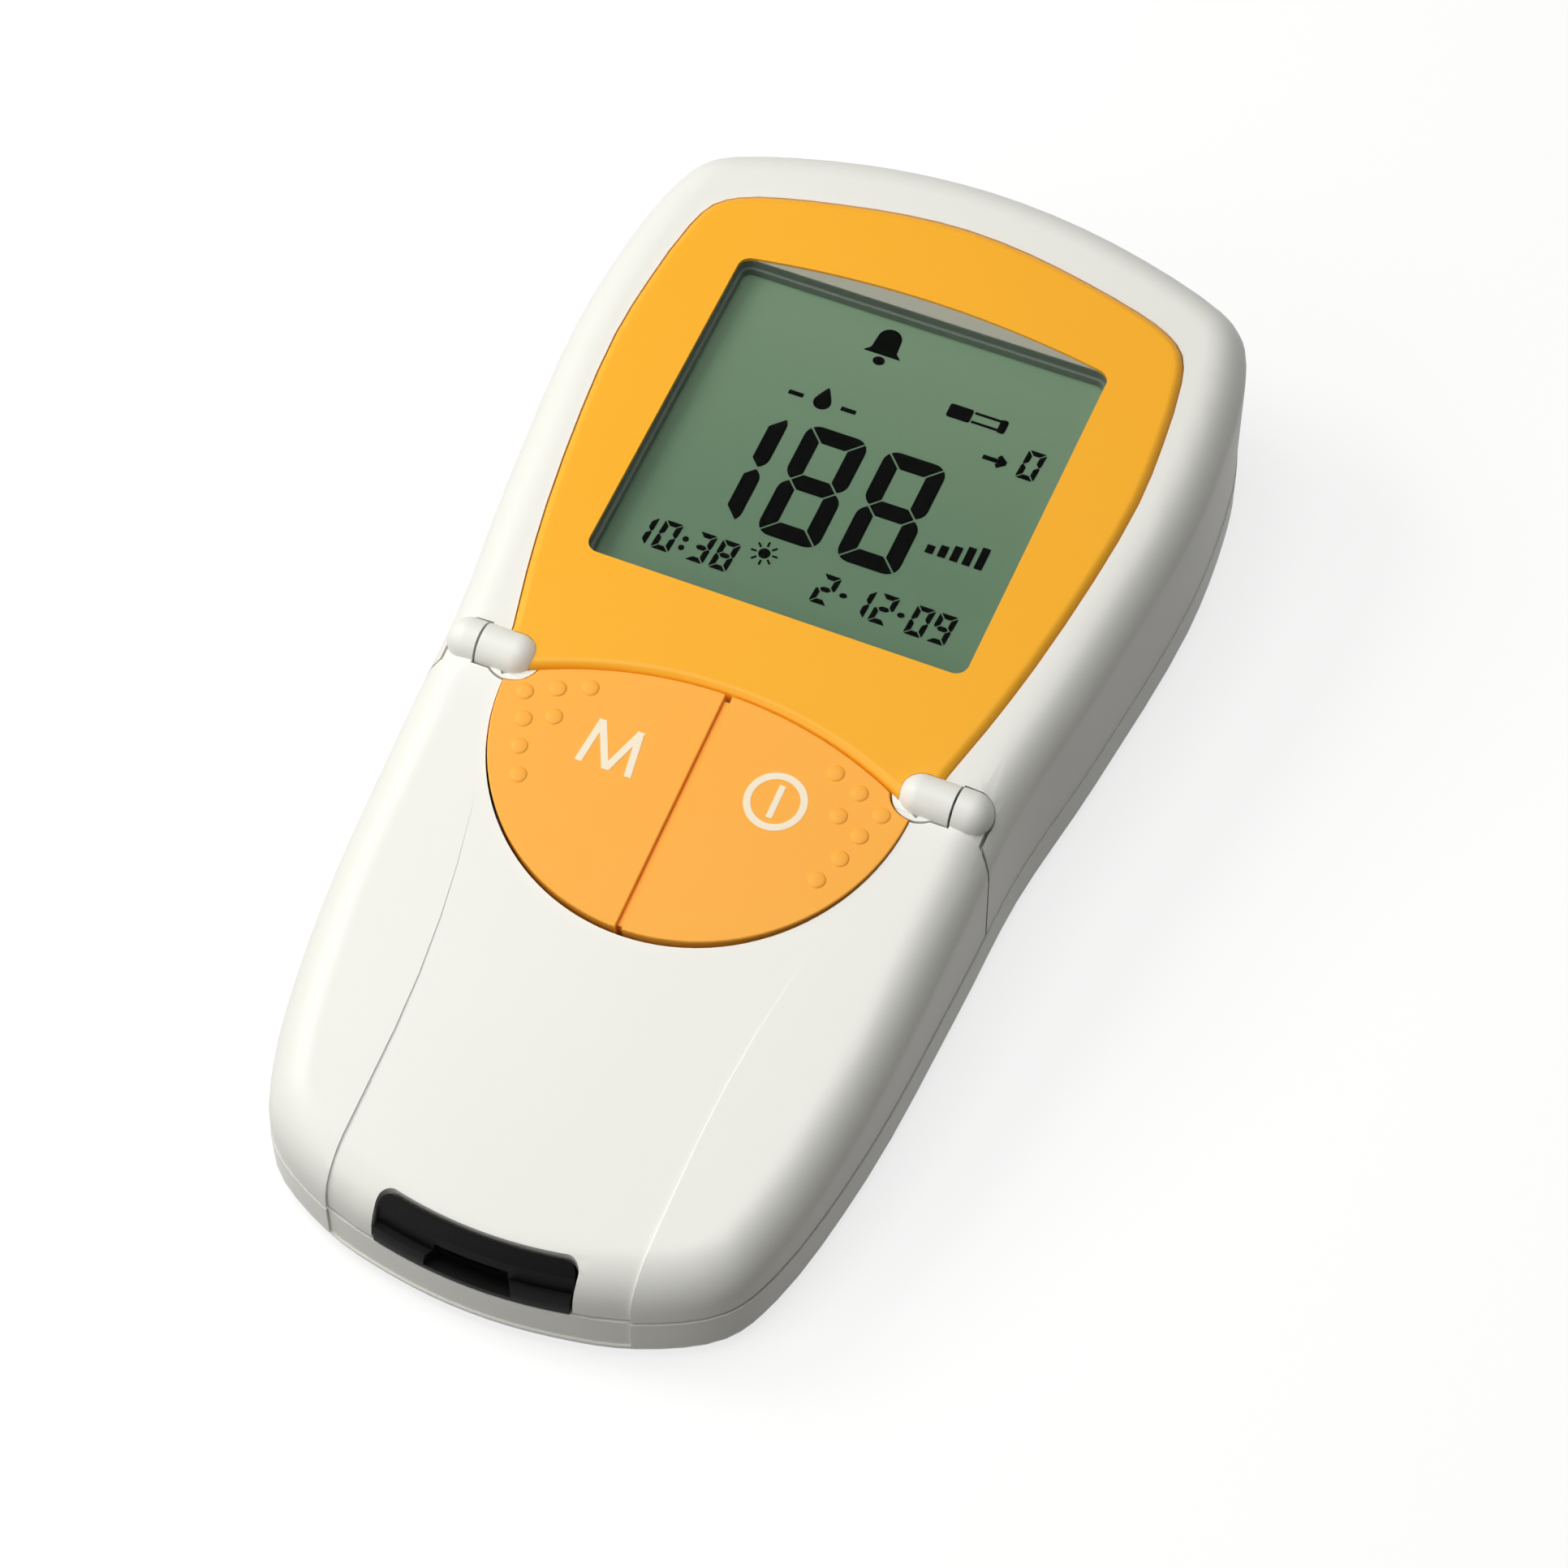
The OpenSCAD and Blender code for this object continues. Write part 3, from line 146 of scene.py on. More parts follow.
# %% [markdown]
# Nearly all that shows on this meter is moulded plastic or rubber. A steel mould is spark-eroded,
# which leaves a fine even grain on the part: it breaks up the highlight and hides fingerprints.
# The grain is a noise of its true size that drives a bump, and it makes the gloss uneven too. A
# slow second noise lets the colour drift a little, as plastic does where it flowed and cooled.

# %% Moulded plastic
FLOW_MARK = 28
GLOSS_SPREAD = 0.05


def moulded(name, colour, drift, roughness, grain_mm, grain_depth_mm, ior=1.5, **more):
    """A moulded or poured skin, whose colour drifts between two close shades."""
    inputs = {"IOR": ior, **{key.replace("_", " "): value for key, value in more.items()}}
    material, tree, shader = start_material(name, inputs)
    place = add_node(tree, "ShaderNodeTexCoord").outputs["Object"]
    flow = add_node(tree, "ShaderNodeTexNoise", inputs={
        "Vector": place, "Scale": per_size(FLOW_MARK), "Detail": 2.0, "Roughness": 0.5})
    tone = add_node(tree, "ShaderNodeMix", {"data_type": "RGBA"}, {
        0: flow.outputs["Fac"], 6: linear(colour), 7: linear(drift)})
    grain = add_node(tree, "ShaderNodeTexNoise", inputs={
        "Vector": place, "Scale": per_size(grain_mm), "Detail": 3.0, "Roughness": 0.6})
    gloss = add_node(tree, "ShaderNodeMapRange", inputs={
        "Value": grain.outputs["Fac"], "From Min": 0.3, "From Max": 0.7,
        "To Min": roughness - GLOSS_SPREAD, "To Max": roughness + GLOSS_SPREAD})
    bump = add_node(tree, "ShaderNodeBump", inputs={
        "Strength": 1.0, "Distance": grain_depth_mm * MM, "Height": grain.outputs["Fac"]})
    tree.links.new(tone.outputs[2], shader.inputs["Base Color"])
    tree.links.new(gloss.outputs[0], shader.inputs["Roughness"])
    tree.links.new(bump.outputs[0], shader.inputs["Normal"])
    return material


# Warm white ABS of the shells. Its real grain of 0.1 mm is drawn at 0.35 mm so that it shows.
shell_abs = moulded("warm_white_ABS_spark_grain", "#F0F0EA", "#EEEEE7", 0.42, 0.35, 0.006)
# Face plate: polycarbonate painted on the back, so its face is smooth and has a deep soft gloss.
plate_polycarbonate = moulded("orange_polycarbonate", "#FFB421", "#FFB62C", 0.36, 0.3, 0.001, 1.58,
                              Specular_IOR_Level=0.25)
# Push buttons: silicone rubber with a dull skin.
button_silicone = moulded("orange_silicone_rubber", "#FFAF38", "#FFB23F", 0.5, 0.3, 0.006, 1.41)
# Strip guide: black acetal, which slides well and shines softly.
guide_acetal = moulded("black_acetal", "#060706", "#0A0B0A", 0.42, 0.3, 0.003, 1.48,
                       Specular_IOR_Level=0.08)
# Inner deck: light grey ABS, plain and half dull, because it lies hidden.
deck_abs = moulded("light_grey_ABS", "#D8D7CF", "#D2D1C8", 0.5, 0.4, 0.006)
# Frame round the display: grey-green ABS, dull so that it throws no light on the figures. Its dark
# colour is a painted shadow: it stands in for the shade below the rear edge of the window.
frame_abs_painted_shadow = moulded("grey_green_ABS_matt", "#69756A", "#636F64", 0.6, 0.3, 0.006)
# Mask at the rear edge of the display: light grey printed film, flat and half dull.
mask_film = moulded("light_grey_printed_film", "#9D9E8F", "#98998B", 0.5, 0.3, 0.002, 1.55)
# Switches, chips, buzzer and optics: black plastic filled with glass, dull and slightly rough.
part_plastic = moulded("black_glass_filled_nylon", "#26282A", "#2C2E30", 0.55, 0.25, 0.01, 1.53)
# Feet: dark rubber with a sanded face that throws hardly any highlight.
foot_rubber = moulded("dark_rubber", "#353534", "#3C3C3A", 0.7, 0.4, 0.015, 1.52)
# Light seal: fine black foam, whose open cells swallow the light.
seal_foam = moulded("black_foam", "#1B1B1B", "#252525", 0.9, 0.5, 0.08, 1.45)
print("materials so far", len(bpy.data.materials))

# %% [markdown]
# The display is a liquid-crystal glass over a grey-green reflector. Its colour is painted a little
# paler at the rear than at the front, a painted light for the brighter light on the rear of the
# glass: the place along the length gives this painted light, and a noise of half a millimetre
# breaks it up. The lens over it is clear acrylic that hardly shows, so it is drawn nearly
# see-through.

# %% Display glass and clear parts
GLASS_FRONT_Y = 20
GLASS_REAR_Y = 52
CRUSH_MARK = 0.5
HAZE_MARK = 8
HAZE_SPREAD = 0.06


def display_glass():
    material, tree, shader = start_material(
        "display_glass_grey_green", {"IOR": 1.52, "Specular IOR Level": 0.2, "Roughness": 0.4})
    place = add_node(tree, "ShaderNodeTexCoord").outputs["Object"]
    along = add_node(tree, "ShaderNodeSeparateXYZ", inputs={"Vector": place})
    # Painted light: the map below makes the glass paler towards the rear, by its place along the
    # length.
    angle = add_node(tree, "ShaderNodeMapRange", inputs={
        "Value": along.outputs["Y"], "From Min": GLASS_FRONT_Y * MM, "From Max": GLASS_REAR_Y * MM})
    shade = add_node(tree, "ShaderNodeMix", {"data_type": "RGBA"}, {
        0: angle.outputs[0], 6: linear("#648267"), 7: linear("#769276")})
    crush = add_node(tree, "ShaderNodeTexNoise", inputs={
        "Vector": place, "Scale": per_size(CRUSH_MARK)})
    tone = add_node(tree, "ShaderNodeMix", {"data_type": "RGBA", "blend_type": "MULTIPLY"}, {
        0: crush.outputs["Fac"], 6: shade.outputs[2], 7: linear("#F8FAF8")})
    tree.links.new(tone.outputs[2], shader.inputs["Base Color"])
    return material


def clear_plastic(name, tint, drift, alpha, roughness):
    material, tree, shader = start_material(name, {"IOR": 1.49, "Alpha": alpha})
    place = add_node(tree, "ShaderNodeTexCoord").outputs["Object"]
    haze = add_node(tree, "ShaderNodeTexNoise", inputs={
        "Vector": place, "Scale": per_size(HAZE_MARK)})
    tone = add_node(tree, "ShaderNodeMix", {"data_type": "RGBA"}, {
        0: haze.outputs["Fac"], 6: linear(tint), 7: linear(drift)})
    gloss = add_node(tree, "ShaderNodeMapRange", inputs={
        "Value": haze.outputs["Fac"], "To Min": roughness, "To Max": roughness + HAZE_SPREAD})
    tree.links.new(tone.outputs[2], shader.inputs["Base Color"])
    tree.links.new(gloss.outputs[0], shader.inputs["Roughness"])
    return material


lcd_glass = display_glass()
# Lens: polished acrylic that darkens the glass below by a trace and has a clean gloss.
lens_acrylic = clear_plastic("clear_acrylic", "#141814", "#0E120E", 0.02, 0.06)
# Window over the optics: acrylic with a cool tint, through which the black block shows.
window_acrylic = clear_plastic("clear_acrylic_window", "#C8D6DA", "#FFFFFF", 0.35, 0.05)
# Figures of the display: the dark state of the crystal, nearly black.
crystal_dark = moulded("dark_liquid_crystal", "#020302", "#030403", 0.5, 0.3, 0.0005, 1.52,
                       Specular_IOR_Level=0.02)
# Legends: cream ink put on by a soft pad.
pad_ink = moulded("cream_pad_ink", "#FBEED6", "#F6E6C8", 0.6, 0.25, 0.004, 1.5)
# Infrared window: dark red acrylic that looks black until it is held to the light.
infrared_acrylic = moulded("dark_red_acrylic", "#2A0A10", "#340C14", 0.12, 2.0, 0.001, 1.49)
print("materials so far", len(bpy.data.materials))

# %% [markdown]
# Metals have no colour of their own under the gloss, so Metallic is 1 and the colour is that of
# the reflection. Screws are turned and plated, springs are drawn wire, and both carry fine lines
# that a stretched noise gives.

# %% Metals and boards
LINE_MARK = 0.8
LINE_STRETCH = (1, 1, 12)
LINE_SPREAD = 0.08
TRACK_PITCH = 6


def plated(name, colour, drift, roughness):
    material, tree, shader = start_material(name, {"Metallic": 1.0})
    place = add_node(tree, "ShaderNodeTexCoord").outputs["Object"]
    stretch = add_node(tree, "ShaderNodeMapping", inputs={
        "Vector": place, "Scale": LINE_STRETCH})
    lines = add_node(tree, "ShaderNodeTexNoise", inputs={
        "Vector": stretch.outputs[0], "Scale": per_size(LINE_MARK), "Detail": 3.0})
    tone = add_node(tree, "ShaderNodeMix", {"data_type": "RGBA"}, {
        0: lines.outputs["Fac"], 6: linear(colour), 7: linear(drift)})
    gloss = add_node(tree, "ShaderNodeMapRange", inputs={
        "Value": lines.outputs["Fac"], "To Min": roughness - LINE_SPREAD,
        "To Max": roughness + LINE_SPREAD})
    tree.links.new(tone.outputs[2], shader.inputs["Base Color"])
    tree.links.new(gloss.outputs[0], shader.inputs["Roughness"])
    return material


def circuit_board():
    """Green solder mask over copper tracks that show as paler lines."""
    material, tree, shader = start_material("green_circuit_board", {"IOR": 1.55, "Roughness": 0.4})
    place = add_node(tree, "ShaderNodeTexCoord").outputs["Object"]
    tracks = add_node(tree, "ShaderNodeTexBrick", {"offset": 0.5}, {
        "Vector": place, "Color1": linear("#2C6A43"), "Color2": linear("#2F7048"),
        "Mortar": linear("#3E8557"), "Scale": per_size(TRACK_PITCH), "Mortar Size": 0.05})
    tree.links.new(tracks.outputs["Color"], shader.inputs["Base Color"])
    return material


# Screws and pins: zinc on steel, a cool grey with a soft gloss.
plated_steel = plated("zinc_plated_steel", "#B9BBBD", "#A4A6A8", 0.3)
# Springs and contact plates: nickel on steel, a little warmer and brighter.
spring_wire = plated("nickel_plated_wire", "#C8C6BE", "#B4B2AA", 0.25)
# Cells: a shrunk plastic jacket, smooth and glossy over a golden print.
cell_jacket = moulded("printed_cell_jacket", "#B98F3A", "#C39A45", 0.3, 1.0, 0.002, 1.5)
# Flat cable: amber film, so smooth that it shines along its folds.
ribbon_film = moulded("amber_polyimide_film", "#B4702A", "#BF7A30", 0.3, 1.0, 0.002, 1.6)
# Contact strips of the display: soft pink silicone rubber without gloss.
contact_rubber = moulded("pink_contact_rubber", "#E3A196", "#DB978B", 0.6, 0.4, 0.01, 1.41)
# Circuit board: glass cloth in resin under a green mask with a soft gloss.
board_glass = circuit_board()
print("materials in all", len(bpy.data.materials))

# %% [markdown]
# Each CAD node gets its finish from one table, and its mesh and place stay as they are. The smooth
# copies that are made further on take their finish from the same table, so a colour is set once.

# %% Finishes of the CAD nodes
NODE_FINISH = {
    "rear_housing": shell_abs, "front_housing": shell_abs, "face_plate": plate_polycarbonate,
    "display_lens": lens_acrylic, "display_frame": frame_abs_painted_shadow, "lcd_panel": lcd_glass,
    "contact_strips": contact_rubber, "main_board": board_glass, "board_chips": part_plastic,
    "button_switches": part_plastic, "buzzer": part_plastic, "board_screws": plated_steel,
    "memory_button": button_silicone, "power_button": button_silicone, "chamber_deck": deck_abs,
    "strip_guide": guide_acetal, "optics_block": part_plastic, "optics_window": window_acrylic,
    "sensor_ribbon": ribbon_film, "measuring_flap": shell_abs, "light_seal": seal_foam,
    "hinge_pins": plated_steel, "infrared_window": infrared_acrylic, "batteries": cell_jacket,
    "battery_springs": spring_wire, "battery_plates": spring_wire, "battery_cover": shell_abs,
    "case_screws": plated_steel, "rubber_feet": foot_rubber,
}
for node, finish in NODE_FINISH.items():
    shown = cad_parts[node]
    shown.data.materials.clear()
    shown.data.materials.append(finish)
print("nodes without a finish", sorted(set(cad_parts) - set(NODE_FINISH)))

# %% [markdown]
# The shells are moulded skins with soft bends. The CAD mesh of such a skin is made of flat facets
# that share no corners, and shaded as it is, each facet shows. A merged copy can be shaded smooth:
# its corners are joined, flat neighbours become one face, and only edges that turn by more than a
# set angle stay sharp. Weighted normals let the large faces decide, so flat stays flat.

# %% Smooth copies of moulded skins
CAD_MERGE = 0.002
FLAT_ANGLE = math.radians(0.3)
SHELL_SHARP = math.radians(32)


def finished_piece(name, bm, body, material, replaced=()):
    """Makes the mesh an object that rides on a body and takes the place of CAD nodes."""
    mesh = bpy.data.meshes.new(name)
    bm.to_mesh(mesh)
    bm.free()
    mesh.materials.append(material)
    piece = bpy.data.objects.new(name, mesh)
    bpy.context.scene.collection.objects.link(piece)
    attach(piece, body)
    if replaced:
        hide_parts(*replaced)
    print(name, "faces", len(mesh.polygons))
    return piece


def join_flat(bm, merge_mm):
    """Joins corners that share a place, and flat neighbours to one face."""
    bmesh.ops.remove_doubles(bm, verts=bm.verts, dist=merge_mm * MM)
    bmesh.ops.dissolve_limit(
        bm, angle_limit=FLAT_ANGLE, use_dissolve_boundaries=False,
        verts=bm.verts, edges=bm.edges, delimit=set())


def merged_copy(node):
    bm = bmesh.new()
    bm.from_mesh(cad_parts[node].data)
    join_flat(bm, CAD_MERGE)
    return bm


def shade_smooth(bm, sharp_angle):
    for face in bm.faces:
        face.smooth = True
    for edge in bm.edges:
        edge.smooth = edge.calc_face_angle(math.pi) < sharp_angle


def keep_flat(piece):
    weighted = piece.modifiers.new("flat stays flat", "WEIGHTED_NORMAL")
    weighted.keep_sharp = True


def smooth_piece(name, bm, node, body):
    shade_smooth(bm, SHELL_SHARP)
    keep_flat(finished_piece(name, bm, body, NODE_FINISH[node], (node,)))


for name, node, body, slot in (
        ("upper_shell", "front_housing", "housing", "shell_white"),
        ("lower_shell", "rear_housing", "housing", "shell_white"),
        ("flap_shell", "measuring_flap", "flap", "shell_white"),
        ("cell_cover", "battery_cover", "cover", "shell_white"),
        ("strip_tray", "strip_guide", "housing", "guide_black")):
    smooth_piece(name, merged_copy(node), node, body)

# %% [markdown]
# The top of the meter is two slopes that meet in a soft bend: the display lies on the rear one and
# the buttons lie on the front one. Flat work is easiest drawn on the level, with x and y as seen
# from above, so each slope gets a matrix that lays finished work onto it.

# %% Planes of the top
HINGE_HEIGHT = 24.87
BEND_Y = -8
DISPLAY_TILT = math.radians(3.15)
BUTTON_TILT = math.radians(8.53)
BUTTON_RISE = 0.2


def on_plane(tilt, rise):
    """Turns flat work, drawn with x and y as seen from above, onto a sloping plane of the top."""
    up = Matrix.Translation(mm(0, BEND_Y, HINGE_HEIGHT + rise))
    return up @ Matrix.Rotation(tilt, 4, "X") @ Matrix.Translation(mm(0, -BEND_Y, 0))


button_plane = on_plane(BUTTON_TILT, BUTTON_RISE)
display_plane = on_plane(DISPLAY_TILT, 0)
print("slopes in degrees", [round(math.degrees(t), 2) for t in (DISPLAY_TILT, BUTTON_TILT)])

# %% [markdown]
# The two buttons are one round silicone cap, split down the middle. Each half could be carved from
# a block, but a moulder turns and cuts the form, so the same is done here: a turned disc is cut
# along the arch of the face plate, round the foot of the hinge and along the split. A bevel then
# rounds the rim of the top, and flattened balls are sunk into it as dots for the fingertip.

# %% Push buttons
BUTTON_RADIUS = 25.27
BUTTON_CENTRE_Y = -11.3
BUTTON_SPLIT = 0.8
ARCH_RADIUS = 51.8
ARCH_CENTRE_Y = -56.7
WEB_X = 25.3
WEB_Y = -8.7
WEB_RADIUS = 3.55
BUTTON_DEPTH = 4
RIM_ROUND = 0.32
RIM_STEPS = 5
CAP_SEGMENTS = 144
ARCH_SEGMENTS = 300
WEB_SEGMENTS = 40
TOOL_REACH = 9
CAP_MERGE = 0.12
CAP_SHARP = math.radians(40)
DOT_DIAMETER = 2.1
DOT_RISE = 0.23
DOT_SEGMENTS = 24
DOT_RINGS = 12
DOTS = ((22.2, -12.9), (18.8, -11.2), (15.3, -9.8), (20.9, -16.2), (17.7, -14.7), (19.9, -19.6),
        (18.5, -23))


def as_blank(bm):
    """Makes a mesh an object that a cut can use."""
    mesh = bpy.data.meshes.new("blank")
    bm.to_mesh(mesh)
    bm.free()
    blank = bpy.data.objects.new("blank", mesh)
    bpy.context.scene.collection.objects.link(blank)
    return blank


def from_blank(blank):
    """Takes the mesh back from a blank and throws the object away."""
    bm = bmesh.new()
    bm.from_mesh(blank.data)
    bpy.data.objects.remove(blank)
    return bm


def turned(radius, centre_x, centre_y, low, high, segments):
    """A disc between two heights, as a lathe would turn it."""
    bm = bmesh.new()
    made = bmesh.ops.create_cone(
        bm, cap_ends=True, cap_tris=False, segments=segments,
        radius1=radius * MM, radius2=radius * MM, depth=(high - low) * MM)
    bmesh.ops.translate(bm, verts=made["verts"], vec=mm(centre_x, centre_y, (low + high) / 2))
    return bm


def cut_away(bm, point, outward, reach=0.0001):
    """Cuts off what lies beyond a plane and leaves the cut open."""
    return bmesh.ops.bisect_plane(
        bm, geom=[*bm.verts, *bm.edges, *bm.faces], dist=reach * MM,
        plane_co=point, plane_no=outward, clear_outer=True)


def slice_off(bm, point, outward):
    """Cuts off what lies beyond a plane and closes the cut."""
    sliced = cut_away(bm, point, outward, 0.001)
    rim = [e for e in sliced["geom_cut"] if isinstance(e, bmesh.types.BMEdge)]
    bmesh.ops.holes_fill(bm, edges=rim)


def cut(blank, tool, operation):
    """Cuts a blank with a tool and throws the tool away."""
    step = blank.modifiers.new("cut", "BOOLEAN")
    step.operation = operation
    step.object = tool
    step.solver = "EXACT"
    shaped = bpy.data.meshes.new_from_object(
        blank.evaluated_get(bpy.context.evaluated_depsgraph_get()))
    blank.modifiers.clear()
    blank.data = shaped
    bpy.data.objects.remove(tool)


def top_face(bm):
    return max(bm.faces, key=lambda face: face.calc_center_median().z)


def round_rim(bm, face, radius, steps):
    """Rounds the rim of a flat top face."""
    bmesh.ops.bevel(
        bm, geom=list(face.edges), offset=radius * MM, offset_type="OFFSET", segments=steps,
        profile=0.5, affect="EDGES", material=-1, clamp_overlap=True)


def add_dot(bm, x, y):
    """One raised dot: a flattened ball, of which the upper half stands out of the skin."""
    ball = bmesh.ops.create_uvsphere(
        bm, u_segments=DOT_SEGMENTS, v_segments=DOT_RINGS, radius=DOT_DIAMETER / 2 * MM)
    flattened = Matrix.Diagonal((1, 1, 2 * DOT_RISE / DOT_DIAMETER, 1))
    place = Matrix.Translation(mm(x, y, 0)) @ flattened
    bmesh.ops.transform(bm, matrix=place, verts=ball["verts"])


def push_button(name, node, body, side):
    """Half of the cap. Side is -1 for the left half and 1 for the right half."""
    cap = turned(BUTTON_RADIUS, 0, BUTTON_CENTRE_Y, -BUTTON_DEPTH, 0, CAP_SEGMENTS)
    arch = turned(ARCH_RADIUS, 0, ARCH_CENTRE_Y, -TOOL_REACH, TOOL_REACH, ARCH_SEGMENTS)
    web = turned(WEB_RADIUS, side * WEB_X, WEB_Y, -TOOL_REACH, TOOL_REACH, WEB_SEGMENTS)
    blank = as_blank(cap)
    cut(blank, as_blank(arch), "INTERSECT")
    cut(blank, as_blank(web), "DIFFERENCE")
    bm = from_blank(blank)
    slice_off(bm, mm(side * BUTTON_SPLIT / 2, 0, 0), (-side, 0, 0))
    join_flat(bm, CAP_MERGE)
    bmesh.ops.recalc_face_normals(bm, faces=bm.faces)
    round_rim(bm, top_face(bm), RIM_ROUND, RIM_STEPS)
    for x, y in DOTS:
        add_dot(bm, side * x, y)
    shade_smooth(bm, CAP_SHARP)
    bmesh.ops.transform(bm, matrix=button_plane, verts=bm.verts)
    keep_flat(finished_piece(name, bm, body, button_silicone, (node,)))


push_button("memory_cap", "memory_button", "left_button", -1)
push_button("power_cap", "power_button", "right_button", 1)

# %% [markdown]
# Between the two halves the floor of the split shows as a deeper orange: it is a thin rib of the
# same rubber that stays where it is when a button goes down. A spun or cut form isn't needed for
# it, so a block is stretched to its size and its top edges are rounded.

# %% Rib between the buttons
RIB_WIDTH = 0.74
RIB_DROP = 0.5
RIB_FRONT_Y = -36.1
RIB_REAR_Y = -5.6
RIB_ROUND = 0.1
RIB_STEPS = 2


def button_rib():
    bm = bmesh.new()
    made = bmesh.ops.create_cube(bm, size=1)
    low, high = -BUTTON_DEPTH, -RIB_DROP
    size = Matrix.Diagonal((RIB_WIDTH * MM, (RIB_REAR_Y - RIB_FRONT_Y) * MM, (high - low) * MM, 1))
    shift = Matrix.Translation(mm(0, (RIB_REAR_Y + RIB_FRONT_Y) / 2, (low + high) / 2))
    bmesh.ops.transform(bm, matrix=shift @ size, verts=made["verts"])
    round_rim(bm, top_face(bm), RIB_ROUND, RIB_STEPS)
    bmesh.ops.transform(bm, matrix=button_plane, verts=bm.verts)
    bmesh.ops.recalc_face_normals(bm, faces=bm.faces)
    finished_piece("button_rib", bm, "housing", button_silicone)


button_rib()

# %% [markdown]
# The window of the face plate ends in a flat arc at the rear, while the glass below it ends in a
# straight line, so a slice of the light grey mask shows between the two. The same slice, taken
# from a turned disc, first cuts the copy of the plate and then, a hair smaller, makes the mask.

# %% Face plate and display mask
WINDOW_REAR_Y = 54.3
WINDOW_ARC_Y = 56.4
WINDOW_ARC_RADIUS = 122.7
WINDOW_ARC_SEGMENTS = 720
PLATE_CUT_TOP = 2
MASK_FLOOR = 0.05
MASK_TOP = 0.28
MASK_FIT = 0.02


def window_slice(low, high, fit):
    """What lies between the straight rear edge of the window and the arc behind it."""
    centre_y = WINDOW_ARC_Y - WINDOW_ARC_RADIUS
    bm = turned(WINDOW_ARC_RADIUS - fit, 0, centre_y, low, high, WINDOW_ARC_SEGMENTS)
    slice_off(bm, mm(0, WINDOW_REAR_Y + fit, 0), (0, -1, 0))
    bmesh.ops.transform(bm, matrix=display_plane, verts=bm.verts)
    bmesh.ops.recalc_face_normals(bm, faces=bm.faces)
    return bm


plate_blank = as_blank(merged_copy("face_plate"))
cut(plate_blank, as_blank(window_slice(MASK_FLOOR, PLATE_CUT_TOP, 0)), "DIFFERENCE")
smooth_piece("orange_plate", from_blank(plate_blank), "face_plate", "housing")
mask = window_slice(MASK_FLOOR + MASK_FIT, MASK_TOP, MASK_FIT)
finished_piece("display_mask", mask, "housing", mask_film)

# %% [markdown]
# The legends are ink, a few hundredths of a millimetre thick. An image could show them, but real
# ink has a body, so each stroke is a thin bar and the ring is turned from its section. Strokes that
# cross end at slightly different heights, so that no two faces share one place.

# %% Printed legends
INK_THICKNESS = 0.04
INK_LIFT = 0.01
STROKE = 0.85
STROKE_OVERRUN = 0.6
STROKE_STEP = 0.004
MEMORY_TOP_Y = -13.0
MEMORY_LOW_Y = -18.85
MEMORY_STROKES = (((-12.9, -18.95), (-12.2, -12.95)), ((-12.3, -12.95), (-9.5, -18.8)),
                  ((-9.5, -18.8), (-7.4, -13.05)), ((-7.5, -13.05), (-6.7, -18.8)))
RING_CENTRE = (10.3, -15.6)
RING_RADIUS = 3.7
RING_SEGMENTS = 64
BAR_X = 10.35
BAR_LENGTH = 4.3
BAR_WIDTH = 0.75


def add_bar(bm, start, end, width, low, high):
    """A thin bar from one point to another."""
    a, b = Vector(start), Vector(end)
    along = b - a
    made = bmesh.ops.create_cube(bm, size=1)
    size = Matrix.Diagonal((along.length * MM, width * MM, (high - low) * MM, 1))
    heading = Matrix.Rotation(math.atan2(along.y, along.x), 4, "Z")
    middle = (a + b) / 2
    shift = Matrix.Translation(mm(middle.x, middle.y, (low + high) / 2))
    bmesh.ops.transform(bm, matrix=shift @ heading @ size, verts=made["verts"])


def add_ring(bm, centre, outer, inner, low, high):
    """A flat ring, turned from the outline of its section."""
    before = set(bm.verts)
    section = bmesh.ops.create_grid(bm, x_segments=1, y_segments=1, size=0.5)["verts"]
    size = Matrix.Diagonal(((outer - inner) * MM, (high - low) * MM, 1, 1))
    upright = Matrix.Rotation(math.pi / 2, 4, "X")
    shift = Matrix.Translation(mm((outer + inner) / 2, 0, (low + high) / 2))
    bmesh.ops.transform(bm, matrix=shift @ upright @ size, verts=section)
    bmesh.ops.delete(bm, geom=section[0].link_faces[:], context="FACES_ONLY")
    outline = section[0].link_edges[:] + section[3].link_edges[:]
    bmesh.ops.spin(
        bm, geom=section + outline, cent=(0, 0, 0), axis=(0, 0, 1), dvec=(0, 0, 0),
        angle=2 * math.pi, steps=RING_SEGMENTS, use_merge=True, use_duplicate=False)
    made = [v for v in bm.verts if v not in before]
    bmesh.ops.translate(bm, verts=made, vec=mm(centre[0], centre[1], 0))


def lay_on_button(name, bm, body):
    bmesh.ops.transform(bm, matrix=button_plane, verts=bm.verts)
    bmesh.ops.recalc_face_normals(bm, faces=bm.faces)
    finished_piece(name, bm, body, pad_ink)


def memory_legend():
    """The strokes run past their ends and are trimmed level at the top and at the foot."""
    bm = bmesh.new()
    for i, (start, end) in enumerate(MEMORY_STROKES):
        a, b = Vector(start), Vector(end)
        longer = (b - a).normalized() * STROKE_OVERRUN
        add_bar(bm, a - longer, b + longer, STROKE, INK_LIFT, INK_THICKNESS + STROKE_STEP * i)
    cut_away(bm, mm(0, MEMORY_TOP_Y, 0), (0, 1, 0))
    cut_away(bm, mm(0, MEMORY_LOW_Y, 0), (0, -1, 0))
    bmesh.ops.holes_fill(bm, edges=bm.edges)
    lay_on_button("memory_legend", bm, "left_button")


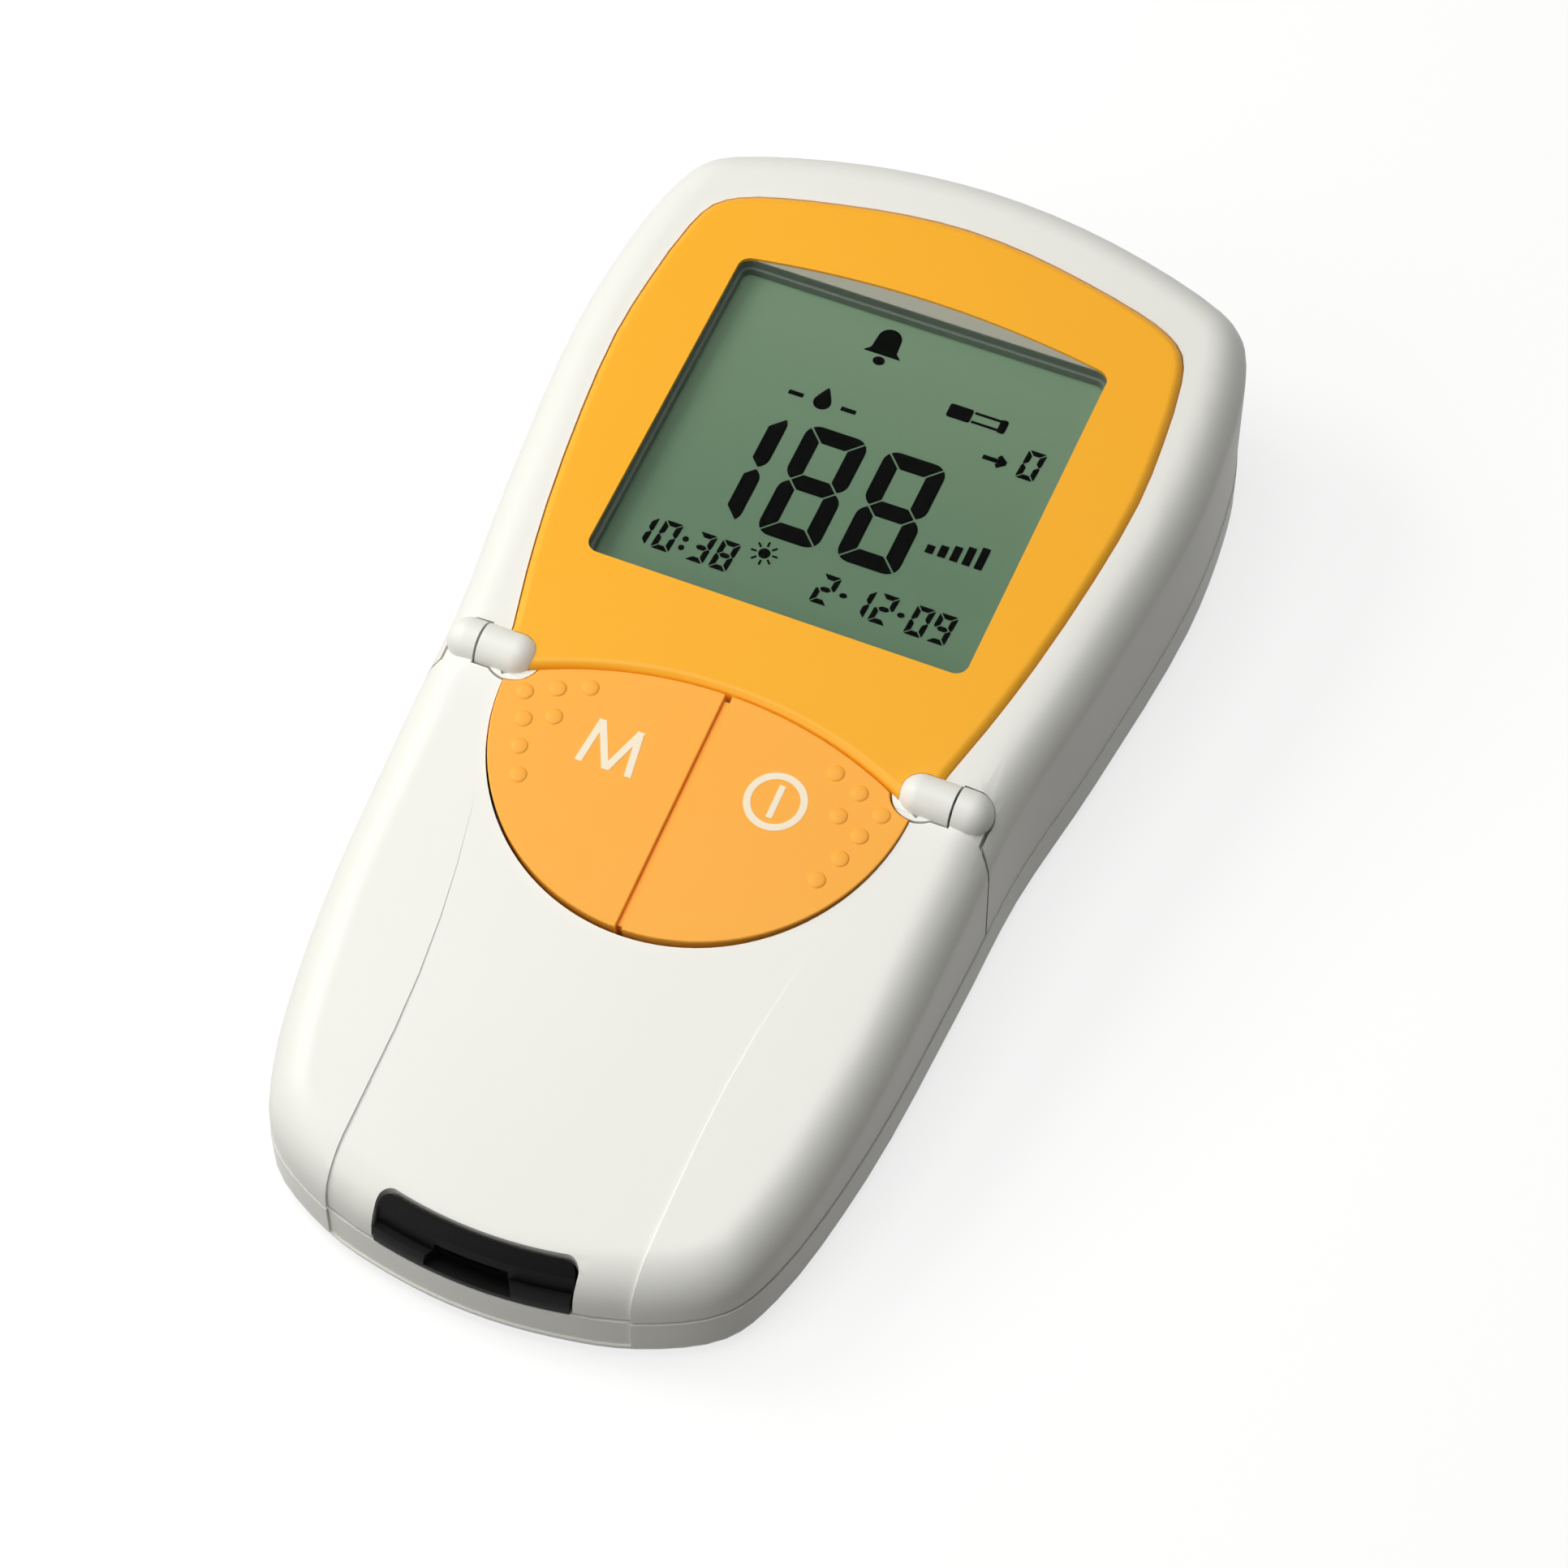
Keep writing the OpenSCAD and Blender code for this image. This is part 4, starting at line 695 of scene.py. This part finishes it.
def power_legend():
    bm = bmesh.new()
    add_ring(bm, RING_CENTRE, RING_RADIUS, RING_RADIUS - STROKE, INK_LIFT, INK_THICKNESS)
    foot = (BAR_X, RING_CENTRE[1] - BAR_LENGTH / 2)
    head = (BAR_X, RING_CENTRE[1] + BAR_LENGTH / 2)
    add_bar(bm, foot, head, BAR_WIDTH, INK_LIFT, INK_THICKNESS)
    lay_on_button("power_legend", bm, "right_button")


memory_legend()
power_legend()

# %% [markdown]
# Every figure of the display is two rounded frames, one over the other, and is lit in seven bars.
# A bar is what straight cuts leave of its frame: one cut along its inner side, and one slanting cut
# at each end, set back by half of the hair gap between two bars. The middle bar has two slanting
# cuts at each end, so it comes to a point.

# %% Figures of the display
LCD_FACE = -2.15
FIGURE_LIFT = 0.02
FIGURE_THICKNESS = 0.04
BARS_OF = {
    "0": "abcdef", "1": "bc", "2": "abged", "3": "abgcd", "8": "abcdefg", "9": "abcdfg",
    "-": "g",
}
SIDE_OF_UPRIGHT = {"b": (1, 1), "c": (1, -1), "e": (-1, -1), "f": (-1, 1)}
SIDE_OF_LEVEL = {"a": 1, "d": -1}
CORNER_STEPS = 5
READING_SIZE = {
    "width": 7.85, "height": 16.9, "upright": 2.08, "level": 2.25, "gap": 0.24,
    "corner": (1.75, CORNER_STEPS)}
SMALL_SIZE = {
    "width": 2.3, "height": 4.3, "upright": 0.66, "level": 0.66, "gap": 0.18,
    "corner": (0.3, CORNER_STEPS)}
READING_Y = 18.97
READING_FIGURES = (("1", -17.5), ("8", -7.3), ("8", 2.8))
SMALL_Y = 12.2
SMALL_LEAN = 0.06
TIME_FIGURES = (("1", -20.7), ("0", -17.65), ("3", -13.25), ("8", -10.25))
DATE_FIGURES = (("2", 2.6), ("1", 7.1), ("2", 10.0), ("0", 14.5), ("9", 17.35))
DASH_XS = (4.85, 12.15)
DASH_NARROW = 0.72
COUNT_PLACE = (18.3, 37.8)


def take_away(bm, point, outward, back):
    """Cuts off what lies beyond a line, after the line is set back a little."""
    away = Vector((*outward, 0)).normalized()
    cut_away(bm, mm(*point, 0) - away * back * MM, away)


def flat_block(x, y, width, height, turn=0.0, corner=0.0, corner_steps=3):
    """A flat block about its middle, with rounded corners if asked for."""
    bm = bmesh.new()
    made = bmesh.ops.create_grid(bm, x_segments=1, y_segments=1, size=0.5)
    size = Matrix.Diagonal((width * MM, height * MM, 1, 1))
    bmesh.ops.transform(bm, matrix=size, verts=made["verts"])
    if corner:
        bmesh.ops.bevel(
            bm, geom=list(bm.verts), offset=corner * MM, offset_type="OFFSET",
            segments=corner_steps, profile=0.5, affect="VERTICES", material=-1,
            clamp_overlap=True)
    place = Matrix.Translation(mm(x, y, 0)) @ Matrix.Rotation(turn, 4, "Z")
    bmesh.ops.transform(bm, matrix=place, verts=bm.verts)
    return bm


def figure_bar(name, size):
    """One flat bar, about the middle of its figure."""
    half_width, half_height = size["width"] / 2, size["height"] / 2
    upright, level, back = size["upright"], size["level"], size["gap"] / 2
    point_x = half_width - upright + level / 2
    if name == "g":
        bm = flat_block(0, 0, size["width"], level)
        for side in (-1, 1):
            for up in (-1, 1):
                take_away(bm, (side * point_x, 0), (side, up), back)
    elif name in SIDE_OF_UPRIGHT:
        side, up = SIDE_OF_UPRIGHT[name]
        bm = flat_block(0, up * half_height / 2, size["width"], half_height, 0, *size["corner"])
        take_away(bm, (side * (half_width - upright), 0), (-side, 0), 0)
        take_away(bm, (side * half_width, up * half_height), (-side, up), back)
        take_away(bm, (side * point_x, 0), (-side, -up), back)
    else:
        up = SIDE_OF_LEVEL[name]
        bm = flat_block(0, up * half_height / 2, size["width"], half_height, 0, *size["corner"])
        take_away(bm, (0, up * (half_height - level)), (0, -up), 0)
        for side in (-1, 1):
            take_away(bm, (side * half_width, up * half_height), (side, -up), back)
    return bm


def add_part(bm, part):
    """Adds one finished part to a larger piece."""
    mesh = bpy.data.meshes.new("part")
    part.to_mesh(mesh)
    part.free()
    bm.from_mesh(mesh)
    bpy.data.meshes.remove(mesh)


def add_figure(bm, character, x, y, size, lean=0.0, narrow=1.0):
    """A figure with its lower left corner at x, y."""
    slant = Matrix.Identity(4)
    slant[0][1] = lean
    middle = Matrix.Translation(mm(x + size["width"] / 2, y + size["height"] / 2, 0))
    for name in BARS_OF[character]:
        bar = figure_bar(name, size)
        bmesh.ops.transform(bar, matrix=Matrix.Diagonal((narrow, 1, 1, 1)), verts=bar.verts)
        bmesh.ops.transform(bar, matrix=middle @ slant, verts=bar.verts)
        add_part(bm, bar)


def thicken(bm):
    """Gives flat figures their small thickness, from the glass upwards."""
    grown = bmesh.ops.extrude_face_region(bm, geom=list(bm.faces), use_keep_orig=True)
    risen = [g for g in grown["geom"] if isinstance(g, bmesh.types.BMVert)]
    bmesh.ops.translate(bm, verts=risen, vec=mm(0, 0, FIGURE_THICKNESS))
    bmesh.ops.recalc_face_normals(bm, faces=bm.faces)


def lay_on_glass(name, bm):
    thicken(bm)
    lift = Matrix.Translation(mm(0, 0, LCD_FACE + FIGURE_LIFT))
    bmesh.ops.transform(bm, matrix=display_plane @ lift, verts=bm.verts)
    finished_piece(name, bm, "housing", crystal_dark)


def reading_figures():
    bm = bmesh.new()
    for character, x in READING_FIGURES:
        add_figure(bm, character, x, READING_Y, READING_SIZE)
    lay_on_glass("reading_figures", bm)


def small_figures():
    bm = bmesh.new()
    for character, x in TIME_FIGURES + DATE_FIGURES:
        add_figure(bm, character, x, SMALL_Y, SMALL_SIZE, SMALL_LEAN)
    for x in DASH_XS:
        add_figure(bm, "-", x, SMALL_Y, SMALL_SIZE, SMALL_LEAN, DASH_NARROW)
    add_figure(bm, "0", *COUNT_PLACE, SMALL_SIZE, SMALL_LEAN)
    lay_on_glass("small_figures", bm)


reading_figures()
small_figures()

# %% [markdown]
# Round the figures stand small signs that any such display has: a bell for the alarm, a drop for
# the sample, a strip, an arrow, a sun for the morning and bars for the level. A curve could draw
# them, but they are so small that flat discs and blocks do as well, cut or pinched where needed.

# %% Signs of the display
BELL_PLACE = (-3.3, 47.7)
BELL_DOME_Y = 3.3
BELL_DOME_RADIUS = 1.5
BELL_CLAPPER_Y = -0.15
BELL_CLAPPER_RADIUS = 0.75
BELL_CLAPPER_SQUASH = 0.85
# Body and flared rim: low edge, high edge, width at the foot and the share of it at the head.
BELL_BLOCKS = ((1.5, 3.32, 3.3, 0.91), (0.8, 1.52, 4.8, 0.69))
DROP_PLACE = (-7.2, 39.3)
DROP_RADIUS = 1.1
DROP_PINCH = 0.55
DROP_SEGMENTS = 40
DROP_DASH_XS = (-10.6, -3.8)
DROP_DASH_SIZE = (1.9, 0.6)
SUN_PLACE = (-4.9, 16.4)
SUN_RADIUS = 0.72
SUN_RAYS = 8
SUN_RAY_AT = 1.35
SUN_RAY_SIZE = (0.7, 0.24)
STRIP_PLACE = (7.2, 44.0)
# A wide end, two lines and a short end: middle, size and corner of each block.
STRIP_BLOCKS = ((1.5, 0, 3.0, 2.0, 0.3), (4.9, -0.68, 3.4, 0.34, 0), (4.9, 0.68, 3.4, 0.34, 0),
                (7.0, 0, 1.0, 2.0, 0.3))
COLON_PLACES = ((-14.3, 13.5), (-14.3, 14.8))
COLON_RADIUS = 0.38
LEVEL_PLACE = (12.9, 24.3)
LEVEL_BARS = 5
LEVEL_PITCH = 1.55
LEVEL_WIDTH = 1.0
LEVEL_HEIGHT = 1.2
LEVEL_GROWTH = 0.5
ARROW_PLACE = (14.9, 39.1)
ARROW_SHAFT = (2.6, 0.6)
ARROW_BARB = (1.3, 0.6)
ARROW_BARB_AT = (1.1, 0.35)
ARROW_BARB_TURN = math.radians(38)


def flat_disc(x, y, radius, squash=1.0, segments=32):
    bm = bmesh.new()
    made = bmesh.ops.create_circle(bm, cap_ends=True, radius=radius * MM, segments=segments)
    place = Matrix.Translation(mm(x, y, 0)) @ Matrix.Diagonal((1, squash, 1, 1))
    bmesh.ops.transform(bm, matrix=place, verts=made["verts"])
    return bm


def bell(x, y):
    """A dome, a body, a rim that flares and a clapper below."""
    dome = flat_disc(x, y + BELL_DOME_Y, BELL_DOME_RADIUS)
    take_away(dome, (x, y + BELL_DOME_Y), (0, -1), 0)
    clapper = flat_disc(x, y + BELL_CLAPPER_Y, BELL_CLAPPER_RADIUS, BELL_CLAPPER_SQUASH)
    parts = [dome, clapper]
    for low, high, width, head_share in BELL_BLOCKS:
        middle_y = y + (low + high) / 2
        part = flat_block(x, middle_y, width, high - low)
        for vert in part.verts:
            if vert.co.y > middle_y * MM:
                vert.co.x = x * MM + (vert.co.x - x * MM) * head_share
        parts.append(part)
    return parts


def drop(x, y):
    """A disc whose upper half is drawn out to a point, with a dash on either side."""
    bm = flat_disc(x, y, DROP_RADIUS, 1.0, DROP_SEGMENTS)
    for vert in bm.verts:
        up = (vert.co.y / MM - y) / DROP_RADIUS
        if up > 0:
            vert.co.y += up**2 * DROP_RADIUS * MM
            vert.co.x = (x + (vert.co.x / MM - x) * (1 - DROP_PINCH * up**2)) * MM
    return [bm] + [flat_block(dash_x, y, *DROP_DASH_SIZE) for dash_x in DROP_DASH_XS]


def sun(x, y):
    parts = [flat_disc(x, y, SUN_RADIUS)]
    for ray in range(SUN_RAYS):
        angle = math.radians(360 / SUN_RAYS * ray)
        ray_x, ray_y = x + SUN_RAY_AT * math.cos(angle), y + SUN_RAY_AT * math.sin(angle)
        parts.append(flat_block(ray_x, ray_y, *SUN_RAY_SIZE, angle))
    return parts


def strip_sign(x, y):
    return [flat_block(x + block_x, y + block_y, width, height, 0, corner)
            for block_x, block_y, width, height, corner in STRIP_BLOCKS]


def level_bars(x, y):
    """Bars that stand on one line and grow to the right."""
    return [flat_block(x + LEVEL_PITCH * i, y + LEVEL_GROWTH / 2 * i,
                       LEVEL_WIDTH, LEVEL_HEIGHT + LEVEL_GROWTH * i) for i in range(LEVEL_BARS)]


def arrow(x, y):
    """A shaft and two slanting barbs."""
    barb_x, barb_y = ARROW_BARB_AT
    return [flat_block(x, y, *ARROW_SHAFT)] + [
        flat_block(x + barb_x, y + side * barb_y, *ARROW_BARB, -side * ARROW_BARB_TURN)
        for side in (1, -1)]


def display_signs():
    bm = bmesh.new()
    parts = bell(*BELL_PLACE) + drop(*DROP_PLACE) + sun(*SUN_PLACE) + strip_sign(*STRIP_PLACE)
    parts += level_bars(*LEVEL_PLACE) + arrow(*ARROW_PLACE)
    parts += [flat_disc(*place, COLON_RADIUS) for place in COLON_PLACES]
    for part in parts:
        add_part(bm, part)
    lay_on_glass("display_signs", bm)


display_signs()

# %% [markdown]
# The stage is a wide sheet of matt paper. Lit until it is white, it would wash out the pale shells,
# so it is lifted to white only for the rays that show it: those of the camera, of a reflection and
# of a clear part. All other rays find plain grey paper, so the sheet throws little light back at
# the meter and still takes its soft shadow.

# %% Floor
FLOOR_HALF_METRES = 3.0
WHITE_LIFT = 0.75
FIBRE_MARK = 1.5


def showing_rays(tree):
    """Gives 1 for camera, glossy and transmission rays, and 0 for all others."""
    rays = add_node(tree, "ShaderNodeLightPath")
    direct = add_node(tree, "ShaderNodeMath", {"operation": "MAXIMUM"}, {
        0: rays.outputs["Is Camera Ray"], 1: rays.outputs["Is Glossy Ray"]})
    return add_node(tree, "ShaderNodeMath", {"operation": "MAXIMUM"}, {
        0: direct.outputs[0], 1: rays.outputs["Is Transmission Ray"]}).outputs[0]


def floor_paper():
    material, tree, shader = start_material("matt_paper", {
        "Roughness": 0.9, "IOR": 1.3, "Emission Color": (1, 1, 1, 1)})
    showing = showing_rays(tree)
    place = add_node(tree, "ShaderNodeTexCoord").outputs["Object"]
    fibre = add_node(tree, "ShaderNodeTexNoise", inputs={
        "Vector": place, "Scale": per_size(FIBRE_MARK)})
    paper = add_node(tree, "ShaderNodeMix", {"data_type": "RGBA"}, {
        0: fibre.outputs["Fac"], 6: linear("#989897"), 7: linear("#959594")})
    tone = add_node(tree, "ShaderNodeMix", {"data_type": "RGBA"}, {
        0: showing, 6: linear("#76736B"), 7: paper.outputs[2]})
    lift = add_node(tree, "ShaderNodeMath", {"operation": "MULTIPLY"}, {0: showing, 1: WHITE_LIFT})
    tree.links.new(tone.outputs[2], shader.inputs["Base Color"])
    tree.links.new(lift.outputs[0], shader.inputs["Emission Strength"])
    return material


sheet = bmesh.new()
bmesh.ops.create_grid(sheet, x_segments=1, y_segments=1, size=FLOOR_HALF_METRES)
floor_mesh = bpy.data.meshes.new("floor")
sheet.to_mesh(floor_mesh)
sheet.free()
floor_mesh.materials.append(floor_paper())
floor = bpy.data.objects.new("floor", floor_mesh)
bpy.context.scene.collection.objects.link(floor)
print("floor size in metres", [round(side, 2) for side in floor.dimensions])

# %% [markdown]
# Pale plastic keeps its colour only while the light on it stays below full white. So the lamps are
# set by a rule rather than by eye: the share of a lamp is how much of full white it gives to a
# surface that faces it. Three square soft boxes stand to the left, above and at the front left, so
# the right side falls into shade, and the world adds a faint even light. Together they give the
# top of the meter just under full white. The world is white only for the rays that show it.

# %% Lamps and world
WORLD_LIGHT = 0.09


def lamp(name, toward, distance, size, share, colour="#FFFFFF"):
    """A square soft box. Toward is a direction, distance and size are in metres."""
    light = bpy.data.lights.new(name, "AREA")
    light.shape = "SQUARE"
    light.size = size
    light.energy = share * math.pi**2 * distance**2
    light.color = linear(colour)[:3]
    box = bpy.data.objects.new(name, light)
    direction = Vector(toward).normalized()
    facing = direction.to_track_quat("Z", "Y").to_matrix().to_4x4()
    box.matrix_world = Matrix.Translation(direction * distance) @ facing
    bpy.context.scene.collection.objects.link(box)


lamp("key_box", (-0.68, 0.02, 0.68), 0.5, 0.24, 0.48, "#FFFDF8")
lamp("top_box", (-0.05, 0.0, 1.0), 0.7, 0.45, 0.4)
lamp("front_box", (-0.5, -0.68, 0.54), 0.9, 0.5, 0.27)

world = bpy.data.worlds.new("white_room")
bpy.context.scene.world = world
world.use_nodes = True
room = world.node_tree
room.nodes.clear()
level = add_node(room, "ShaderNodeMapRange", inputs={
    "Value": showing_rays(room), "To Min": WORLD_LIGHT, "To Max": 1.0})
walls = add_node(room, "ShaderNodeBackground", inputs={
    "Color": (1, 1, 1, 1), "Strength": level.outputs[0]})
add_node(room, "ShaderNodeOutputWorld", inputs={"Surface": walls.outputs[0]})
bpy.context.scene.view_settings.view_transform = "Standard"
